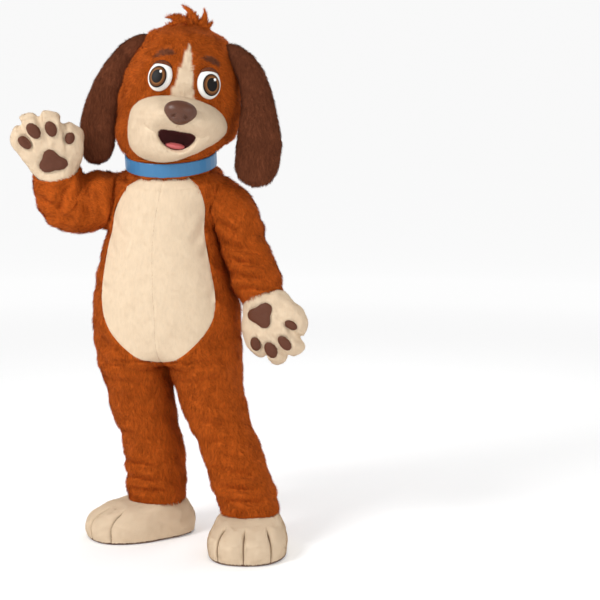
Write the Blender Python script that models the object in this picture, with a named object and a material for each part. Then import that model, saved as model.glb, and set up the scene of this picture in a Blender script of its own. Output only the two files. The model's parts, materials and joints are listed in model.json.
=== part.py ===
"""Dog mascot costume, worn and waving: fur suit, stuffed tail, paw gloves, shoe covers, foam head, collar.

The figure faces -Y, its left side is +X, and +Z is up. Meshes are written in heights above the floor and
hang under one empty, so that the frame's origin lies between the wearer's shoulders.
"""

import math
from collections import namedtuple

import bmesh
import bpy
import numpy as np
from mathutils import Matrix, Vector

# ---------------------------------------------------------------- driving dimensions, metres and degrees
SHOULDER_HEIGHT = 1.28
GAP = 0.0003
CLOTH = 0.004
FOAM = 0.012

SUIT_TOP = 1.300
SUIT_HEM = 0.125
SHOULDER_TOP = 1.262
TILT_START = 1.060
SPLIT_TOP = 0.700
CROTCH = 0.600
FOLD_WIDTH = 0.017
STANCE_BLEND = 0.060
BELLY_TIP_ANGLE = 1.5

NECK_HEIGHT = 1.292
NECK_TILT = 13.0

ARMHOLE_HEIGHT = 1.165
ARMHOLE_RADIUS = 0.092
ARMHOLE_SPREAD = 27.0
ARMHOLE_STEPS = 8

RUST = (0.465, 0.085, 0.012)
CREAM = (0.80, 0.62, 0.42)
DARK_BROWN = (0.085, 0.030, 0.015)
PAD_BROWN = (0.060, 0.022, 0.012)
BLUE = (0.045, 0.215, 0.48)
MOUTH_DARK = (0.040, 0.010, 0.010)
TONGUE_RED = (0.48, 0.085, 0.085)
EYE_WHITE = (0.85, 0.84, 0.80)
IRIS_BROWN = (0.13, 0.045, 0.012)

# The suit's level sections: half of its whole width, and its depths in front and behind.
Section = namedtuple("Section", "height half_width front back")
SECTIONS = [
    Section(0.125, 0.196, 0.100, 0.100),
    Section(0.197, 0.200, 0.101, 0.102),
    Section(0.337, 0.208, 0.106, 0.107),
    Section(0.410, 0.215, 0.113, 0.116),
    Section(0.483, 0.226, 0.126, 0.133),
    Section(0.560, 0.236, 0.149, 0.162),
    Section(0.600, 0.243, 0.165, 0.176),
    Section(0.646, 0.250, 0.185, 0.191),
    Section(0.700, 0.254, 0.203, 0.202),
    Section(0.765, 0.256, 0.213, 0.205),
    Section(0.826, 0.252, 0.215, 0.200),
    Section(0.900, 0.236, 0.205, 0.190),
    Section(1.020, 0.204, 0.178, 0.176),
    Section(1.100, 0.188, 0.165, 0.170),
    Section(1.180, 0.188, 0.157, 0.166),
    Section(1.262, 0.184, 0.147, 0.156),
]

# How far each leg's middle stands aside from a straight leg, and how far forward or back.
Stance = namedtuple("Stance", "height right_x right_y left_x left_y")
STANCES = [
    Stance(0.125, 0.041, 0.025, 0.202, -0.134),
    Stance(0.156, 0.041, 0.024, 0.193, -0.125),
    Stance(0.258, 0.040, 0.020, 0.148, -0.095),
    Stance(0.337, 0.034, 0.015, 0.116, -0.070),
    Stance(0.400, 0.018, 0.010, 0.078, -0.050),
    Stance(0.483, 0.009, 0.005, 0.042, -0.028),
    Stance(0.560, 0.003, 0.002, 0.016, -0.014),
    Stance(0.640, 0.000, 0.000, 0.004, -0.005),
    Stance(0.720, 0.000, 0.000, 0.000, 0.000),
    Stance(1.300, 0.000, 0.000, 0.000, 0.000),
]

# The spine's lean to the figure's left, with height.
Lean = namedtuple("Lean", "height x")
LEANS = [
    Lean(0.125, 0.010),
    Lean(0.560, 0.010),
    Lean(0.620, 0.008),
    Lean(0.720, 0.001),
    Lean(0.800, 0.000),
    Lean(0.900, -0.006),
    Lean(1.020, -0.012),
    Lean(1.120, -0.006),
    Lean(1.220, 0.008),
    Lean(1.300, 0.020),
]

# The belly panel's edge, as the angle round the section from the front's middle.
Edge = namedtuple("Edge", "height angle")
BELLY_EDGE = [
    Edge(0.634, 2.0),
    Edge(0.644, 11.0),
    Edge(0.660, 18.5),
    Edge(0.710, 33.5),
    Edge(0.768, 45.0),
    Edge(0.826, 51.0),
    Edge(0.904, 54.5),
    Edge(1.030, 57.0),
    Edge(1.130, 57.0),
    Edge(1.230, 46.0),
    Edge(1.262, 40.0),
    Edge(1.300, 34.0),
]

# The neck's rings: share of the way from the shoulder's top, radius, and rise along the neck.
NeckRing = namedtuple("NeckRing", "share radius rise")
NECK_RINGS = [
    NeckRing(0.00, 0.186, -0.020),
    NeckRing(0.45, 0.148, -0.012),
    NeckRing(0.70, 0.1340, -0.003),
    NeckRing(1.00, 0.1340, 0.015),
]

# Folds where the cloth bunches over the shoe: their height, how far they swell, and their drop to the front.
Fold = namedtuple("Fold", "height swell slant")
LEG_FOLDS = [
    Fold(0.150, 0.006, 0.05),
    Fold(0.192, 0.007, -0.06),
    Fold(0.236, 0.006, 0.07),
    Fold(0.285, 0.004, -0.05),
]


# ---------------------------------------------------------------- materials
def material(name, color, roughness):
    made = bpy.data.materials.new(name)
    made.use_nodes = True
    made.diffuse_color = (*color, 1.0)
    shader = made.node_tree.nodes["Principled BSDF"]
    shader.inputs["Base Color"].default_value = (*color, 1.0)
    shader.inputs["Roughness"].default_value = roughness
    shader.inputs["Metallic"].default_value = 0.0
    return made


# ---------------------------------------------------------------- tables and curves
def column(rows, name):
    """A smooth function through one column of a table whose first column is the position along it."""
    where = np.array([row[0] for row in rows], float)
    value = np.array([getattr(row, name) for row in rows], float)
    rise = np.diff(value) / np.diff(where)
    slope = np.zeros(len(where))
    slope[0], slope[-1] = rise[0], rise[-1]
    for i in range(1, len(where) - 1):
        if rise[i - 1] * rise[i] > 0:
            slope[i] = 2 * rise[i - 1] * rise[i] / (rise[i - 1] + rise[i])

    def read(at):
        at = min(max(at, where[0]), where[-1])
        i = min(int(np.searchsorted(where, at, side="right")) - 1, len(where) - 2)
        step = where[i + 1] - where[i]
        t = (at - where[i]) / step
        low = (1 + 2 * t) * (1 - t) ** 2 * value[i] + t * (1 - t) ** 2 * step * slope[i]
        high = t * t * (3 - 2 * t) * value[i + 1] + t * t * (t - 1) * step * slope[i + 1]
        return low + high

    return read


def ease(t):
    """Smooth step from 0 to 1."""
    t = min(max(t, 0.0), 1.0)
    return t * t * (3 - 2 * t)


# ---------------------------------------------------------------- solids from grids of points
def finish(name, verts, faces, look, parent):
    mesh = bpy.data.meshes.new(name)
    mesh.from_pydata([tuple(p) for p in verts], [], faces)
    work = bmesh.new()
    work.from_mesh(mesh)
    bmesh.ops.recalc_face_normals(work, faces=work.faces)
    if work.calc_volume(signed=True) < 0:
        bmesh.ops.reverse_faces(work, faces=work.faces)
    work.to_mesh(mesh)
    work.free()
    mesh.materials.append(look)
    mesh.shade_smooth()
    mesh.set_sharp_from_angle(angle=math.radians(40))
    made = bpy.data.objects.new(name, mesh)
    made.parent = parent
    bpy.context.collection.objects.link(made)
    return made


def skin(faces, start, rows, cols, closed):
    """Triangles over one grid of points, all cut along the same diagonal, so that two grids nest."""
    for r in range(rows - 1):
        for c in range(cols if closed else cols - 1):
            d = (c + 1) % cols
            a, b = start + r * cols + c, start + r * cols + d
            faces.extend([(a, b, b + cols), (a, b + cols, a + cols)])


def zip_faces(start, cols):
    """Faces that close a ring flat, each column against its mirror column."""
    pairs = []
    for c in range(cols // 2):
        pairs.append((start + c, start + c + 1, start + (cols - c - 1) % cols, start + (cols - c) % cols))
    return [tuple(dict.fromkeys(pair)) for pair in pairs]


def wall(name, outer, inner, look, parent, closed=False, tips=(None, None), zipped=False):
    """One closed wall between two grids of points, rows by columns.

    closed joins the last column to the first. tips gives, for the first and last row, None for an open rim
    or a pair of points, outer and inner, at which the two skins close. zipped closes the last row flat, each
    column against its mirror column.
    """
    rows, cols = len(outer), len(outer[0])
    verts = [p for row in outer for p in row] + [p for row in inner for p in row]
    half = rows * cols
    faces = []
    skin(faces, 0, rows, cols, closed)
    skin(faces, half, rows, cols, closed)
    spans = cols if closed else cols - 1
    for tip, row in ((tips[0], 0), (tips[1], rows - 1)):
        top = len(verts)
        if tip is not None:
            verts.extend(tip)
        if zipped and row == rows - 1:
            faces.extend(zip_faces(row * cols, cols) + zip_faces(half + row * cols, cols))
            continue
        for c in range(spans):
            a, b = row * cols + c, row * cols + (c + 1) % cols
            if tip is None:
                faces.append((a, half + a, half + b, b))
            else:
                faces.append((a, top, b))
                faces.append((half + b, top + 1, half + a))
        if tip is not None and not closed:
            for end in (row * cols, row * cols + cols - 1):
                faces.append((end, half + end, top + 1, top))
    if not closed:
        for c in (0, cols - 1):
            for r in range(rows - 1):
                a, b = r * cols + c, (r + 1) * cols + c
                faces.append((a, half + a, half + b, b))
    return finish(name, verts, faces, look, parent)


def stuffed(name, rings, look, parent, tips=(None, None), zipped=False):
    """One closed solid through rings of points, its ends closed by a tip point, a flat face, or zipped."""
    rows, cols = len(rings), len(rings[0])
    verts = [p for ring in rings for p in ring]
    faces = []
    skin(faces, 0, rows, cols, True)
    for tip, row in ((tips[0], 0), (tips[1], rows - 1)):
        ring = [row * cols + c for c in range(cols)]
        if zipped and row == rows - 1:
            faces.extend(zip_faces(row * cols, cols))
        elif tip is None:
            faces.append(tuple(ring))
        else:
            verts.append(tip)
            faces.extend((a, len(verts) - 1, b) for a, b in zip(ring, ring[1:] + ring[:1]))
    return finish(name, verts, faces, look, parent)


def as_cutter(cutter):
    cutter.hide_render = True
    cutter.display_type = "WIRE"
    return cutter


def cut(target, cutter):
    """Cuts the target where it meets the cutter."""
    boolean = target.modifiers.new("cut", "BOOLEAN")
    boolean.operation = "DIFFERENCE"
    boolean.solver = "EXACT"
    boolean.object = cutter
    return target


def skins(surface, us, vs, thick, flip=1.0, step_u=0.25, step_v=0.001):
    """Outer and inner grids of a surface(u, v), the inner one set back along the surface's own normal."""
    outer, inner = [], []
    for v in vs:
        outer_row, inner_row = [], []
        for u in us(v) if callable(us) else us:
            along_u = surface(u + step_u, v) - surface(u - step_u, v)
            along_v = surface(u, v + step_v) - surface(u, v - step_v)
            normal = along_u.cross(along_v).normalized() * flip
            point = surface(u, v)
            outer_row.append(point)
            inner_row.append(point - normal * thick)
        outer.append(outer_row)
        inner.append(inner_row)
    return outer, inner


# ---------------------------------------------------------------- the suit's surface
half_width_at = column(SECTIONS, "half_width")
front_at = column(SECTIONS, "front")
back_at = column(SECTIONS, "back")
lean_at = column(LEANS, "x")
belly_angle_at = column(BELLY_EDGE, "angle")
neck_radius_at = column(NECK_RINGS, "radius")
neck_rise_at = column(NECK_RINGS, "rise")
STANCE_X = {-1: column(STANCES, "right_x"), 1: column(STANCES, "left_x")}
STANCE_Y = {-1: column(STANCES, "right_y"), 1: column(STANCES, "left_y")}
NECK_FRAME = Matrix.Translation((lean_at(SUIT_TOP), 0, NECK_HEIGHT)) @ Matrix.Rotation(
    math.radians(NECK_TILT), 4, "X"
)


def neck_point(radius, angle, rise):
    """A point on the tilted neck: angle in degrees from its front towards the figure's left."""
    a = math.radians(angle)
    return NECK_FRAME @ Vector((radius * math.sin(a), -radius * math.cos(a), rise))


def shoulder_slope(height):
    """Rise of a level section towards the back, which grows from nothing in the chest to the neck's tilt."""
    return math.tan(math.radians(NECK_TILT)) * ease((height - TILT_START) / (SHOULDER_TOP - TILT_START))


def split_at(height):
    """How far a half of the section has closed into a leg, from 0 in the trunk to 1 at the crotch."""
    t = min(max((SPLIT_TOP - height) / (SPLIT_TOP - CROTCH), 0.0), 1.0)
    return math.sin(math.radians(90.0 * t * t))


def half_section(height):
    """Radius and centre of one side's half of the level section."""
    split = split_at(height)
    radius = half_width_at(height) / (1 + split)
    return radius, radius * split


def fold_swell(height, angle):
    """How far the leg swells where its cloth bunches."""
    level = height + 0.04 * math.cos(math.radians(angle))
    return sum(
        fold.swell * math.exp(-(((level - fold.height - 0.04 * fold.slant) / FOLD_WIDTH) ** 2))
        for fold in LEG_FOLDS
    )


def suit_point(side, angle, height):
    """A point of the suit: angle in degrees, -90 at the inseam's front, 0 front, 90 side, 180 back."""
    radius, centre = half_section(height)
    a = math.radians(angle)
    depth = front_at(height) if math.cos(a) > 0 else back_at(height)
    swell = fold_swell(height, angle)
    x = centre + (radius + swell) * math.sin(a)
    y = -(depth + swell) * math.cos(a)
    point = Vector((side * (x + 0.6 * GAP) + lean_at(height), y, height + y * shoulder_slope(height)))
    hold = ease((height - CROTCH + STANCE_BLEND) / STANCE_BLEND)
    share = 1 + hold * (min(abs(x) / half_width_at(height), 1.0) - 1)
    point.x += STANCE_X[side](height) * share
    point.y += STANCE_Y[side](height) * share
    share = (height - SHOULDER_TOP) / (SUIT_TOP - SHOULDER_TOP)
    if share > 0:
        ring = neck_point(neck_radius_at(share), side * angle, neck_rise_at(share))
        point = point.lerp(ring, ease(share / 0.45))
    return point


def seam_angle(height):
    """Angle of the middle seam: 0 in the trunk, -90 on the inseam."""
    radius, centre = half_section(height)
    return -math.degrees(math.asin(min(centre / radius, 1.0)))


def belly_edge_angle(height):
    """Angle of the belly panel's edge on the half section."""
    radius, centre = half_section(height)
    across = half_width_at(height) * math.sin(math.radians(belly_angle_at(height)))
    angle = math.degrees(math.asin(min(max((across - centre) / radius, -1.0), 1.0)))
    return max(angle, seam_angle(height) + BELLY_TIP_ANGLE)


def armhole_half(height):
    """Half the armhole's opening at a height, in degrees round the section."""
    t = (height - ARMHOLE_HEIGHT) / ARMHOLE_RADIUS
    return ARMHOLE_SPREAD * math.sqrt(max(1 - t * t, 0.0))


def side_inset(side, angle, height):
    """Degrees of turn that move a point by half the seam's gap."""
    here, there = suit_point(side, angle, height), suit_point(side, angle + 0.5, height)
    return 0.5 * (GAP * 0.3) / max((there - here).length, 1e-6)


def panel(name, side, low, high, heights, steps, look, parent):
    """A suit panel between two edges, each an angle that depends on the height."""

    def across(height):
        start, end = low(height), high(height)
        start += side_inset(side, start, height)
        end -= side_inset(side, end, height)
        return [start + (end - start) * i / steps for i in range(steps + 1)]

    def surface(u, v):
        return suit_point(side, u, v)

    outer, inner = skins(surface, across, heights, CLOTH, flip=side)
    return wall(name, outer, inner, look, parent)


LEG_HEIGHTS = [SUIT_HEM, 0.150, 0.171, 0.192, 0.214, 0.236, 0.261, 0.290, 0.345, 0.405, 0.465, 0.525, 0.570]
CROTCH_HEIGHTS = [CROTCH, 0.610, 0.622, 0.634, 0.648, 0.675]
TRUNK_HEIGHTS = [0.710, 0.755, 0.810, 0.870, 0.930, 0.990, 1.040]
ARMHOLE_HEIGHTS = [
    ARMHOLE_HEIGHT - ARMHOLE_RADIUS * math.cos(math.pi * i / ARMHOLE_STEPS) for i in range(ARMHOLE_STEPS + 1)
]
NECK_HEIGHTS = [SHOULDER_TOP + share * (SUIT_TOP - SHOULDER_TOP) for share in (0.45, 0.70, 1.0)]
SUIT_HEIGHTS = LEG_HEIGHTS + CROTCH_HEIGHTS + TRUNK_HEIGHTS + ARMHOLE_HEIGHTS + NECK_HEIGHTS


def front_edge(height):
    """Where the side panel starts: at the belly panel above its tip, at the middle seam below it."""
    return belly_edge_angle(height) if height >= BELLY_EDGE[0].height else seam_angle(height)


def side_front(height):
    return 90.0 - armhole_half(height)


def side_back(height):
    return 90.0 + armhole_half(height)


def back_edge(height):
    return 180.0 - seam_angle(height)


def make_suit(looks, parent):
    belly_heights = [h for h in SUIT_HEIGHTS if h >= BELLY_EDGE[0].height]
    for side, word in ((-1, "right"), (1, "left")):
        panel("front_" + word, side, front_edge, side_front, SUIT_HEIGHTS, 5, looks["rust"], parent)
        panel("back_" + word, side, side_back, back_edge, SUIT_HEIGHTS, 6, looks["rust"], parent)
        panel("belly_" + word, side, seam_angle, belly_edge_angle, belly_heights, 5, looks["cream"], parent)


def make_suit_cutter(looks, parent):
    """The trunk's outside a little enlarged, which cuts what is sewn against it."""
    heights = [h for h in SUIT_HEIGHTS if SPLIT_TOP < h < ARMHOLE_HEIGHT]
    rings = []
    for height in heights:
        angles = [180.0 * i / 14 for i in range(14)]
        ring = [suit_point(1, angle, height) for angle in angles]
        ring += [suit_point(-1, 180.0 - angle, height) for angle in angles]
        middle = Vector((lean_at(height), 0, height))
        rings.append([p + (p - middle).normalized() * (3 * GAP) for p in ring])
    return as_cutter(stuffed("suit_cutter", rings, looks["rust"], parent))


# ---------------------------------------------------------------- sleeves
# Each arm's middle line from the armhole to the cuff, with the sleeve's radius there.
Arm = namedtuple("Arm", "along x y height radius")
ARMS = {
    -1: [
        Arm(0.00, -0.186, 0.000, 1.165, 0.092),
        Arm(0.16, -0.225, -0.010, 1.182, 0.107),
        Arm(0.32, -0.265, -0.025, 1.163, 0.095),
        Arm(0.52, -0.317, -0.045, 1.168, 0.101),
        Arm(0.70, -0.345, -0.065, 1.202, 0.095),
        Arm(0.86, -0.354, -0.084, 1.243, 0.085),
        Arm(1.00, -0.356, -0.100, 1.276, 0.078),
    ],
    1: [
        Arm(0.00, 0.194, 0.000, 1.165, 0.092),
        Arm(0.16, 0.226, -0.002, 1.146, 0.094),
        Arm(0.36, 0.256, -0.014, 1.084, 0.078),
        Arm(0.60, 0.286, -0.032, 1.000, 0.074),
        Arm(0.80, 0.318, -0.050, 0.925, 0.078),
        Arm(1.00, 0.346, -0.068, 0.856, 0.0725),
    ],
}
SLEEVE_FOLDS = {
    -1: [Fold(0.40, 0.004, 0.03), Fold(0.58, 0.005, -0.03), Fold(0.86, 0.003, 0.02)],
    1: [Fold(0.45, 0.004, 0.03), Fold(0.60, 0.006, -0.03), Fold(0.74, 0.006, 0.04), Fold(0.86, 0.006, -0.02)],
}
SLEEVE_STEPS = 13
SLEEVE_SIDES = 2 * ARMHOLE_STEPS
SLEEVE_FOLD_WIDTH = 0.04
SLEEVE_SETTLE = 0.30
SLEEVE_CLEARANCE = 0.006


def arm_frame(side, along):
    """Frame on the arm's middle line: X towards the shoulder's top, Y to the front, Z along the arm."""
    read = {name: column(ARMS[side], name) for name in ("x", "y", "height", "radius")}

    def middle(t):
        return Vector((read["x"](t), read["y"](t), read["height"](t)))

    step = 0.06
    run = (middle(min(along + step, 1.0)) - middle(max(along - step, 0.0))).normalized()
    run = run.lerp(Vector((side, 0, 0)), 1 - ease(along / 0.12)).normalized()
    front = Vector((0, -1, 0))
    front = (front - run * front.dot(run)).normalized()
    top = front.cross(run) * side
    frame = Matrix((top, front, run)).transposed().to_4x4()
    frame.translation = middle(along)
    return frame, read["radius"](along)


def armhole_point(side, turn):
    """A point on the armhole's edge: turn in degrees from its top towards the front."""
    height = ARMHOLE_HEIGHT + ARMHOLE_RADIUS * math.cos(math.radians(turn))
    spread = ARMHOLE_SPREAD * math.sin(math.radians(turn))
    return suit_point(side, 90.0 - spread, height)


def clear_of_suit(side, point, margin):
    """Moves a sleeve's point sideways until it lies outside the suit."""
    height = min(point.z - point.y * shoulder_slope(point.z), SHOULDER_TOP)
    radius, centre = half_section(height)
    depth = front_at(height) if point.y < 0 else back_at(height)
    reach = centre + radius * math.sqrt(max(1 - (point.y / depth) ** 2, 0.0))
    limit = side * lean_at(height) + reach + margin
    if side * point.x < limit and height < SHOULDER_TOP:
        point.x = side * limit
    return point


def sleeve_point(side, turn, along):
    frame, radius = arm_frame(side, along)
    for fold in SLEEVE_FOLDS[side]:
        level = along + fold.slant * math.cos(math.radians(turn))
        radius += fold.swell * math.exp(-(((level - fold.height) / SLEEVE_FOLD_WIDTH) ** 2))
    a = math.radians(turn)
    round_point = frame @ Vector((radius * math.cos(a), radius * math.sin(a), 0))
    share = ease(along / SLEEVE_SETTLE)
    margin = min(2 * GAP + 0.12 * along, SLEEVE_CLEARANCE)
    if share < 1.0:
        edge = armhole_point(side, turn)
        round_point = edge.lerp(round_point, share)
        round_point.x = side * max(side * round_point.x, side * edge.x + margin)
    return clear_of_suit(side, round_point, margin)


def make_sleeve(side, name, look, parent):
    turns = [360.0 * i / SLEEVE_SIDES for i in range(SLEEVE_SIDES)]
    alongs = [0.0, 0.05] + [0.10 + 0.90 * i / (SLEEVE_STEPS - 2) for i in range(SLEEVE_STEPS - 1)]

    def surface(u, v):
        return sleeve_point(side, u, max(v, 0.0))

    outer, inner = skins(surface, turns, alongs, CLOTH, flip=side)
    return wall(name, outer, inner, look, parent, closed=True)


# ---------------------------------------------------------------- paw gloves
# Fingers seen on the palm: direction from the palm's middle towards the thumb's side, and reach.
Finger = namedtuple("Finger", "angle reach pad_reach pad_long pad_wide")
FINGERS = [
    Finger(-50.0, 0.137, 0.093, 0.025, 0.019),
    Finger(-15.0, 0.150, 0.104, 0.029, 0.022),
    Finger(17.0, 0.147, 0.102, 0.028, 0.020),
    Finger(57.0, 0.130, 0.092, 0.022, 0.016),
]
GLOVE_CUFF = 0.0722
CUFF_SHARE = {-1: 1.0, 1: 0.925}
CUFF_SETTLE = 0.02
GLOVE_TUCK = 0.012
PALM_MIDDLE = 0.088
PALM_SIDE = 0.103
PALM_SPAN = 104.0
VALLEY = 0.120
VALLEY_WIDTH = 4.5
PALM_THICK = 0.056
FINGER_THICK = 0.043
TIP_THICK = 0.007
PALM_ANGLES = (
    104.0, 86.0, 71.0, 57.0, 45.0, 37.0, 28.0, 17.0, 8.0, 1.0, -6.0, -15.0, -24.5, -32.5, -40.5, -50.0, -65.0,
    -84.0, -104.0,
)
GLOVE_LEVELS = [0.0, 0.18, 0.40, 0.60, 0.78, 0.92, 1.0]
PALM_PAD = 0.042
PALM_PAD_AT = (-0.002, 0.072)
PALM_TURN = {-1: 12.0, 1: -16.0}
PALM_BEND = {-1: (-0.5, 0.3), 1: (0.2, -0.1)}
PAD_HEIGHT = 0.0055
PAD_SINK = 0.008
PAD_EDGE = 0.0035
PAD_SIDES = 12


def finger_reach(angle):
    """Distance from the palm's middle to the paw's outline."""
    nearest = min(FINGERS, key=lambda finger: abs(finger.angle - angle))
    t = abs(nearest.angle - angle) / 20.0
    if t < 1:
        return VALLEY + (nearest.reach - VALLEY) * math.sqrt(1 - t * t)
    beyond = (abs(nearest.angle - angle) - 20.0) / (PALM_SPAN - 77.0)
    return VALLEY + (PALM_SIDE - VALLEY) * min(beyond, 1.0)


def valley_depth(angle):
    """How deep the crease between two fingers is, 0 to 1."""
    middles = [(a.angle + b.angle) / 2 for a, b in zip(FINGERS, FINGERS[1:])]
    return max(math.exp(-(((angle - middle) / VALLEY_WIDTH) ** 2)) for middle in middles)


def palm_line(across, inset):
    """Start at the cuff and end at the outline of the line that runs up the paw at a share across it."""
    angle = math.radians(across * PALM_SPAN)
    reach = finger_reach(across * PALM_SPAN) - inset
    start = Vector((across * (GLOVE_CUFF - inset), 0.0))
    end = Vector((reach * math.sin(angle), PALM_MIDDLE + reach * math.cos(angle)))
    return start, end


def palm_half_thickness(across, level, inset):
    body = GLOVE_CUFF + (PALM_THICK - GLOVE_CUFF) * ease(level / 0.35)
    body += (FINGER_THICK - PALM_THICK) * ease((level - 0.35) / 0.5)
    crease = 1 - 0.34 * valley_depth(across * PALM_SPAN) * ease((level - 0.55) / 0.35)
    thick = body * crease * math.sqrt(max(1 - level**6, 0.0)) + TIP_THICK * level
    return max(thick - inset, 0.002)


def glove_local(turn, level, inset=0.0):
    """A point of the glove: X to the thumb's side, Y out of the palm, Z along the hand."""
    across = math.cos(math.radians(turn))
    rise = math.sin(math.radians(turn))
    start, end = palm_line(across, inset)
    place = start.lerp(end, max(level, 0.0))
    thick = palm_half_thickness(across, level, inset)
    return Vector((place.x, rise * thick, place.y))


def palm_local(x, z, lift):
    """The point over (x, z) on the palm's side, lifted off its surface."""
    low, high = -1.0, 1.0
    for _ in range(40):
        across = (low + high) / 2
        start, end = palm_line(across, 0.0)
        run = end - start
        if run.x * (z - start.y) - run.y * (x - start.x) > 0:
            high = across
        else:
            low = across
    start, end = palm_line(across, 0.0)
    level = (Vector((x, z)) - start).dot(end - start) / (end - start).length_squared
    rise = math.sqrt(max(1 - across * across, 0.0))
    return Vector((x, rise * palm_half_thickness(across, level, 0.0) + lift, z))


def hand_frame(side):
    frame, radius = arm_frame(side, 1.0)
    run = frame.col[2].to_3d()
    turn = math.radians(PALM_TURN[side])
    palm = Vector((math.sin(turn), -math.cos(turn), 0))
    palm = (palm - run * palm.dot(run)).normalized()
    thumb = run.cross(palm) * -side
    made = Matrix((thumb, palm, run)).transposed().to_4x4()
    made.translation = frame.translation
    return made


def place_hand(side, frame, point):
    """Sets a glove's own point in the figure, bent a little at the wrist."""
    past = max(point.z, 0.0)
    aside, ahead = PALM_BEND[side]
    share = CUFF_SHARE[side] + (1 - CUFF_SHARE[side]) * ease(past / CUFF_SETTLE)
    place = Vector((point.x * share, point.y * share, point.z))
    return frame @ (place + Vector((aside * past * past, ahead * past * past, 0)))


def make_glove(side, word, looks, parent):
    frame = hand_frame(side)
    palm = [math.degrees(math.acos(angle / PALM_SPAN)) for angle in PALM_ANGLES]
    turns = palm + [360.0 - turn for turn in palm[-2:0:-1]]

    def grid(inset):
        rows = []
        for i, level in enumerate([0.0] + GLOVE_LEVELS):
            tuck = Vector((0, 0, -GLOVE_TUCK if i == 0 else 0.0))
            rows.append([place_hand(side, frame, glove_local(turn, level, inset) + tuck) for turn in turns])
        return rows

    wall("glove_" + word, grid(0.0), grid(CLOTH), looks["cream"], parent, closed=True, zipped=True)
    return as_cutter(stuffed("glove_cutter_" + word, grid(-2.0 * GAP), looks["cream"], parent, zipped=True))


def pad_outline(long, wide, angle, theta):
    """Outline of an oval finger pad whose long side points along an angle."""
    a = math.radians(angle)
    u, v = long * math.cos(theta), wide * math.sin(theta)
    return Vector((u * math.sin(a) + v * math.cos(a), u * math.cos(a) - v * math.sin(a)))


def palm_pad_outline(theta):
    """Outline of the palm's three-lobed pad."""
    size = PALM_PAD * (1 + 0.10 * math.cos(3 * theta) - 0.05 * math.cos(theta))
    return Vector((1.08 * size * math.sin(theta), 0.92 * size * math.cos(theta)))


def make_pad(side, name, middle, outline, sides, look, parent, glove):
    """A puffed pad made from the palm's points moved out, its underside cut to the glove."""
    frame = hand_frame(side)
    shares = (0.65, 1.0)

    def spot(share, theta, lift):
        x, z = Vector(middle) + outline(theta) * share
        return place_hand(side, frame, palm_local(x, z, lift))

    thetas = [2 * math.pi * i / sides for i in range(sides)]
    top = [[spot(s, t, PAD_EDGE + PAD_HEIGHT * math.sqrt(1 - s * s)) for t in thetas] for s in shares]
    base = [[spot(1.0, t, -PAD_SINK) for t in thetas]]
    tips = (spot(0, 0, PAD_EDGE + PAD_HEIGHT), None)
    cut(stuffed(name, top + base, look, parent, tips=tips), glove)


def make_paw(side, word, looks, parent):
    glove = make_glove(side, word, looks, parent)
    make_pad(side, "palm_pad_" + word, PALM_PAD_AT, palm_pad_outline, 18, looks["pad"], parent, glove)
    for number, finger in enumerate(FINGERS, 1):
        a = math.radians(finger.angle)
        middle = (finger.pad_reach * math.sin(a), PALM_MIDDLE + finger.pad_reach * math.cos(a))

        def outline(theta, finger=finger):
            return pad_outline(finger.pad_long, finger.pad_wide, 0.6 * finger.angle, theta)

        make_pad(side, f"finger_pad_{word}_{number}", middle, outline, PAD_SIDES, looks["pad"], parent, glove)


# ---------------------------------------------------------------- shoe covers
SOLE = 0.007
FOOT_LONG = 0.190
FOOT_WIDE = 0.132
FOOT_AHEAD = 0.062
FOOT_HIGH = 0.1232
FOOT_NECK = 0.0838
FOOT_NECK_TOP = 0.137
FOOT_STRETCH = {-1: 1.0140, 1: 1.0063}
FOOT_TURN = {-1: -52.0, 1: 4.0}
TOE_GROOVES = (-29.0, 0.0, 29.0)
GROOVE_WIDTH = 3.2
GROOVE_DEPTH = 0.011
TOE_PUFF = 0.006
FOOT_TURNS = (
    [-62 + 10.0 * i for i in range(3)] + [-33.0, -29.0, -25.0, -14.5, -4.0, 0.0, 4.0, 14.5, 25.0, 29.0, 33.0]
    + [42.0 + 10.0 * i for i in range(3)] + [78.0 + 24.0 * i for i in range(10)]
)
FOOT_LEVELS = (0.0, 0.12, 0.30, 0.50, 0.68, 0.85, 1.0)


def groove(turn, level):
    """Depth of the grooves between the toes, which fade on the instep."""
    fade = 1 - ease((level - 0.45) / 0.25)
    return fade * max(math.exp(-(((turn - at) / GROOVE_WIDTH) ** 2)) for at in TOE_GROOVES)


def foot_outline(turn, inset=0.0):
    """The sole's outline round its middle, 0 at the toes, the toes each a little round."""
    a = math.radians(turn)
    wide = (FOOT_WIDE - inset) * (1.0 if math.cos(a) > 0 else 0.93)
    reach = (abs(math.cos(a) / (FOOT_LONG - inset)) ** 2.5 + abs(math.sin(a) / wide) ** 2.5) ** (-1 / 2.5)
    return Vector((reach * math.sin(a), -reach * math.cos(a) - FOOT_AHEAD, 0))


def foot_local(turn, level, inset=0.0):
    """A point of the shoe cover: level 0 on the sole, 1 at the ankle."""
    turn = (turn + 180.0) % 360.0 - 180.0
    a = math.radians(turn)
    edge = foot_outline(turn, inset)
    neck = Vector((math.sin(a), -math.cos(a), 0)) * (FOOT_NECK - inset)
    swing = math.radians(90.0 * level)
    bulge = 1 + 0.05 * math.sin(math.pi * min(2 * level, 1.0))
    place = (edge * bulge).lerp(neck, 1 - math.cos(swing))
    front = max(math.cos(a), 0.0)
    puff = TOE_PUFF * front * math.sin(math.pi * min(level * 1.4, 1.0))
    depth = GROOVE_DEPTH * groove(turn, level) * (0.35 + 0.65 * math.sin(swing))
    place -= (edge - neck).normalized() * (depth * math.cos(swing))
    height = (FOOT_HIGH - SOLE - inset) * math.sin(swing) ** 0.85 + puff - depth * math.sin(swing)
    place.z = SOLE + GAP + height
    return place


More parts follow.
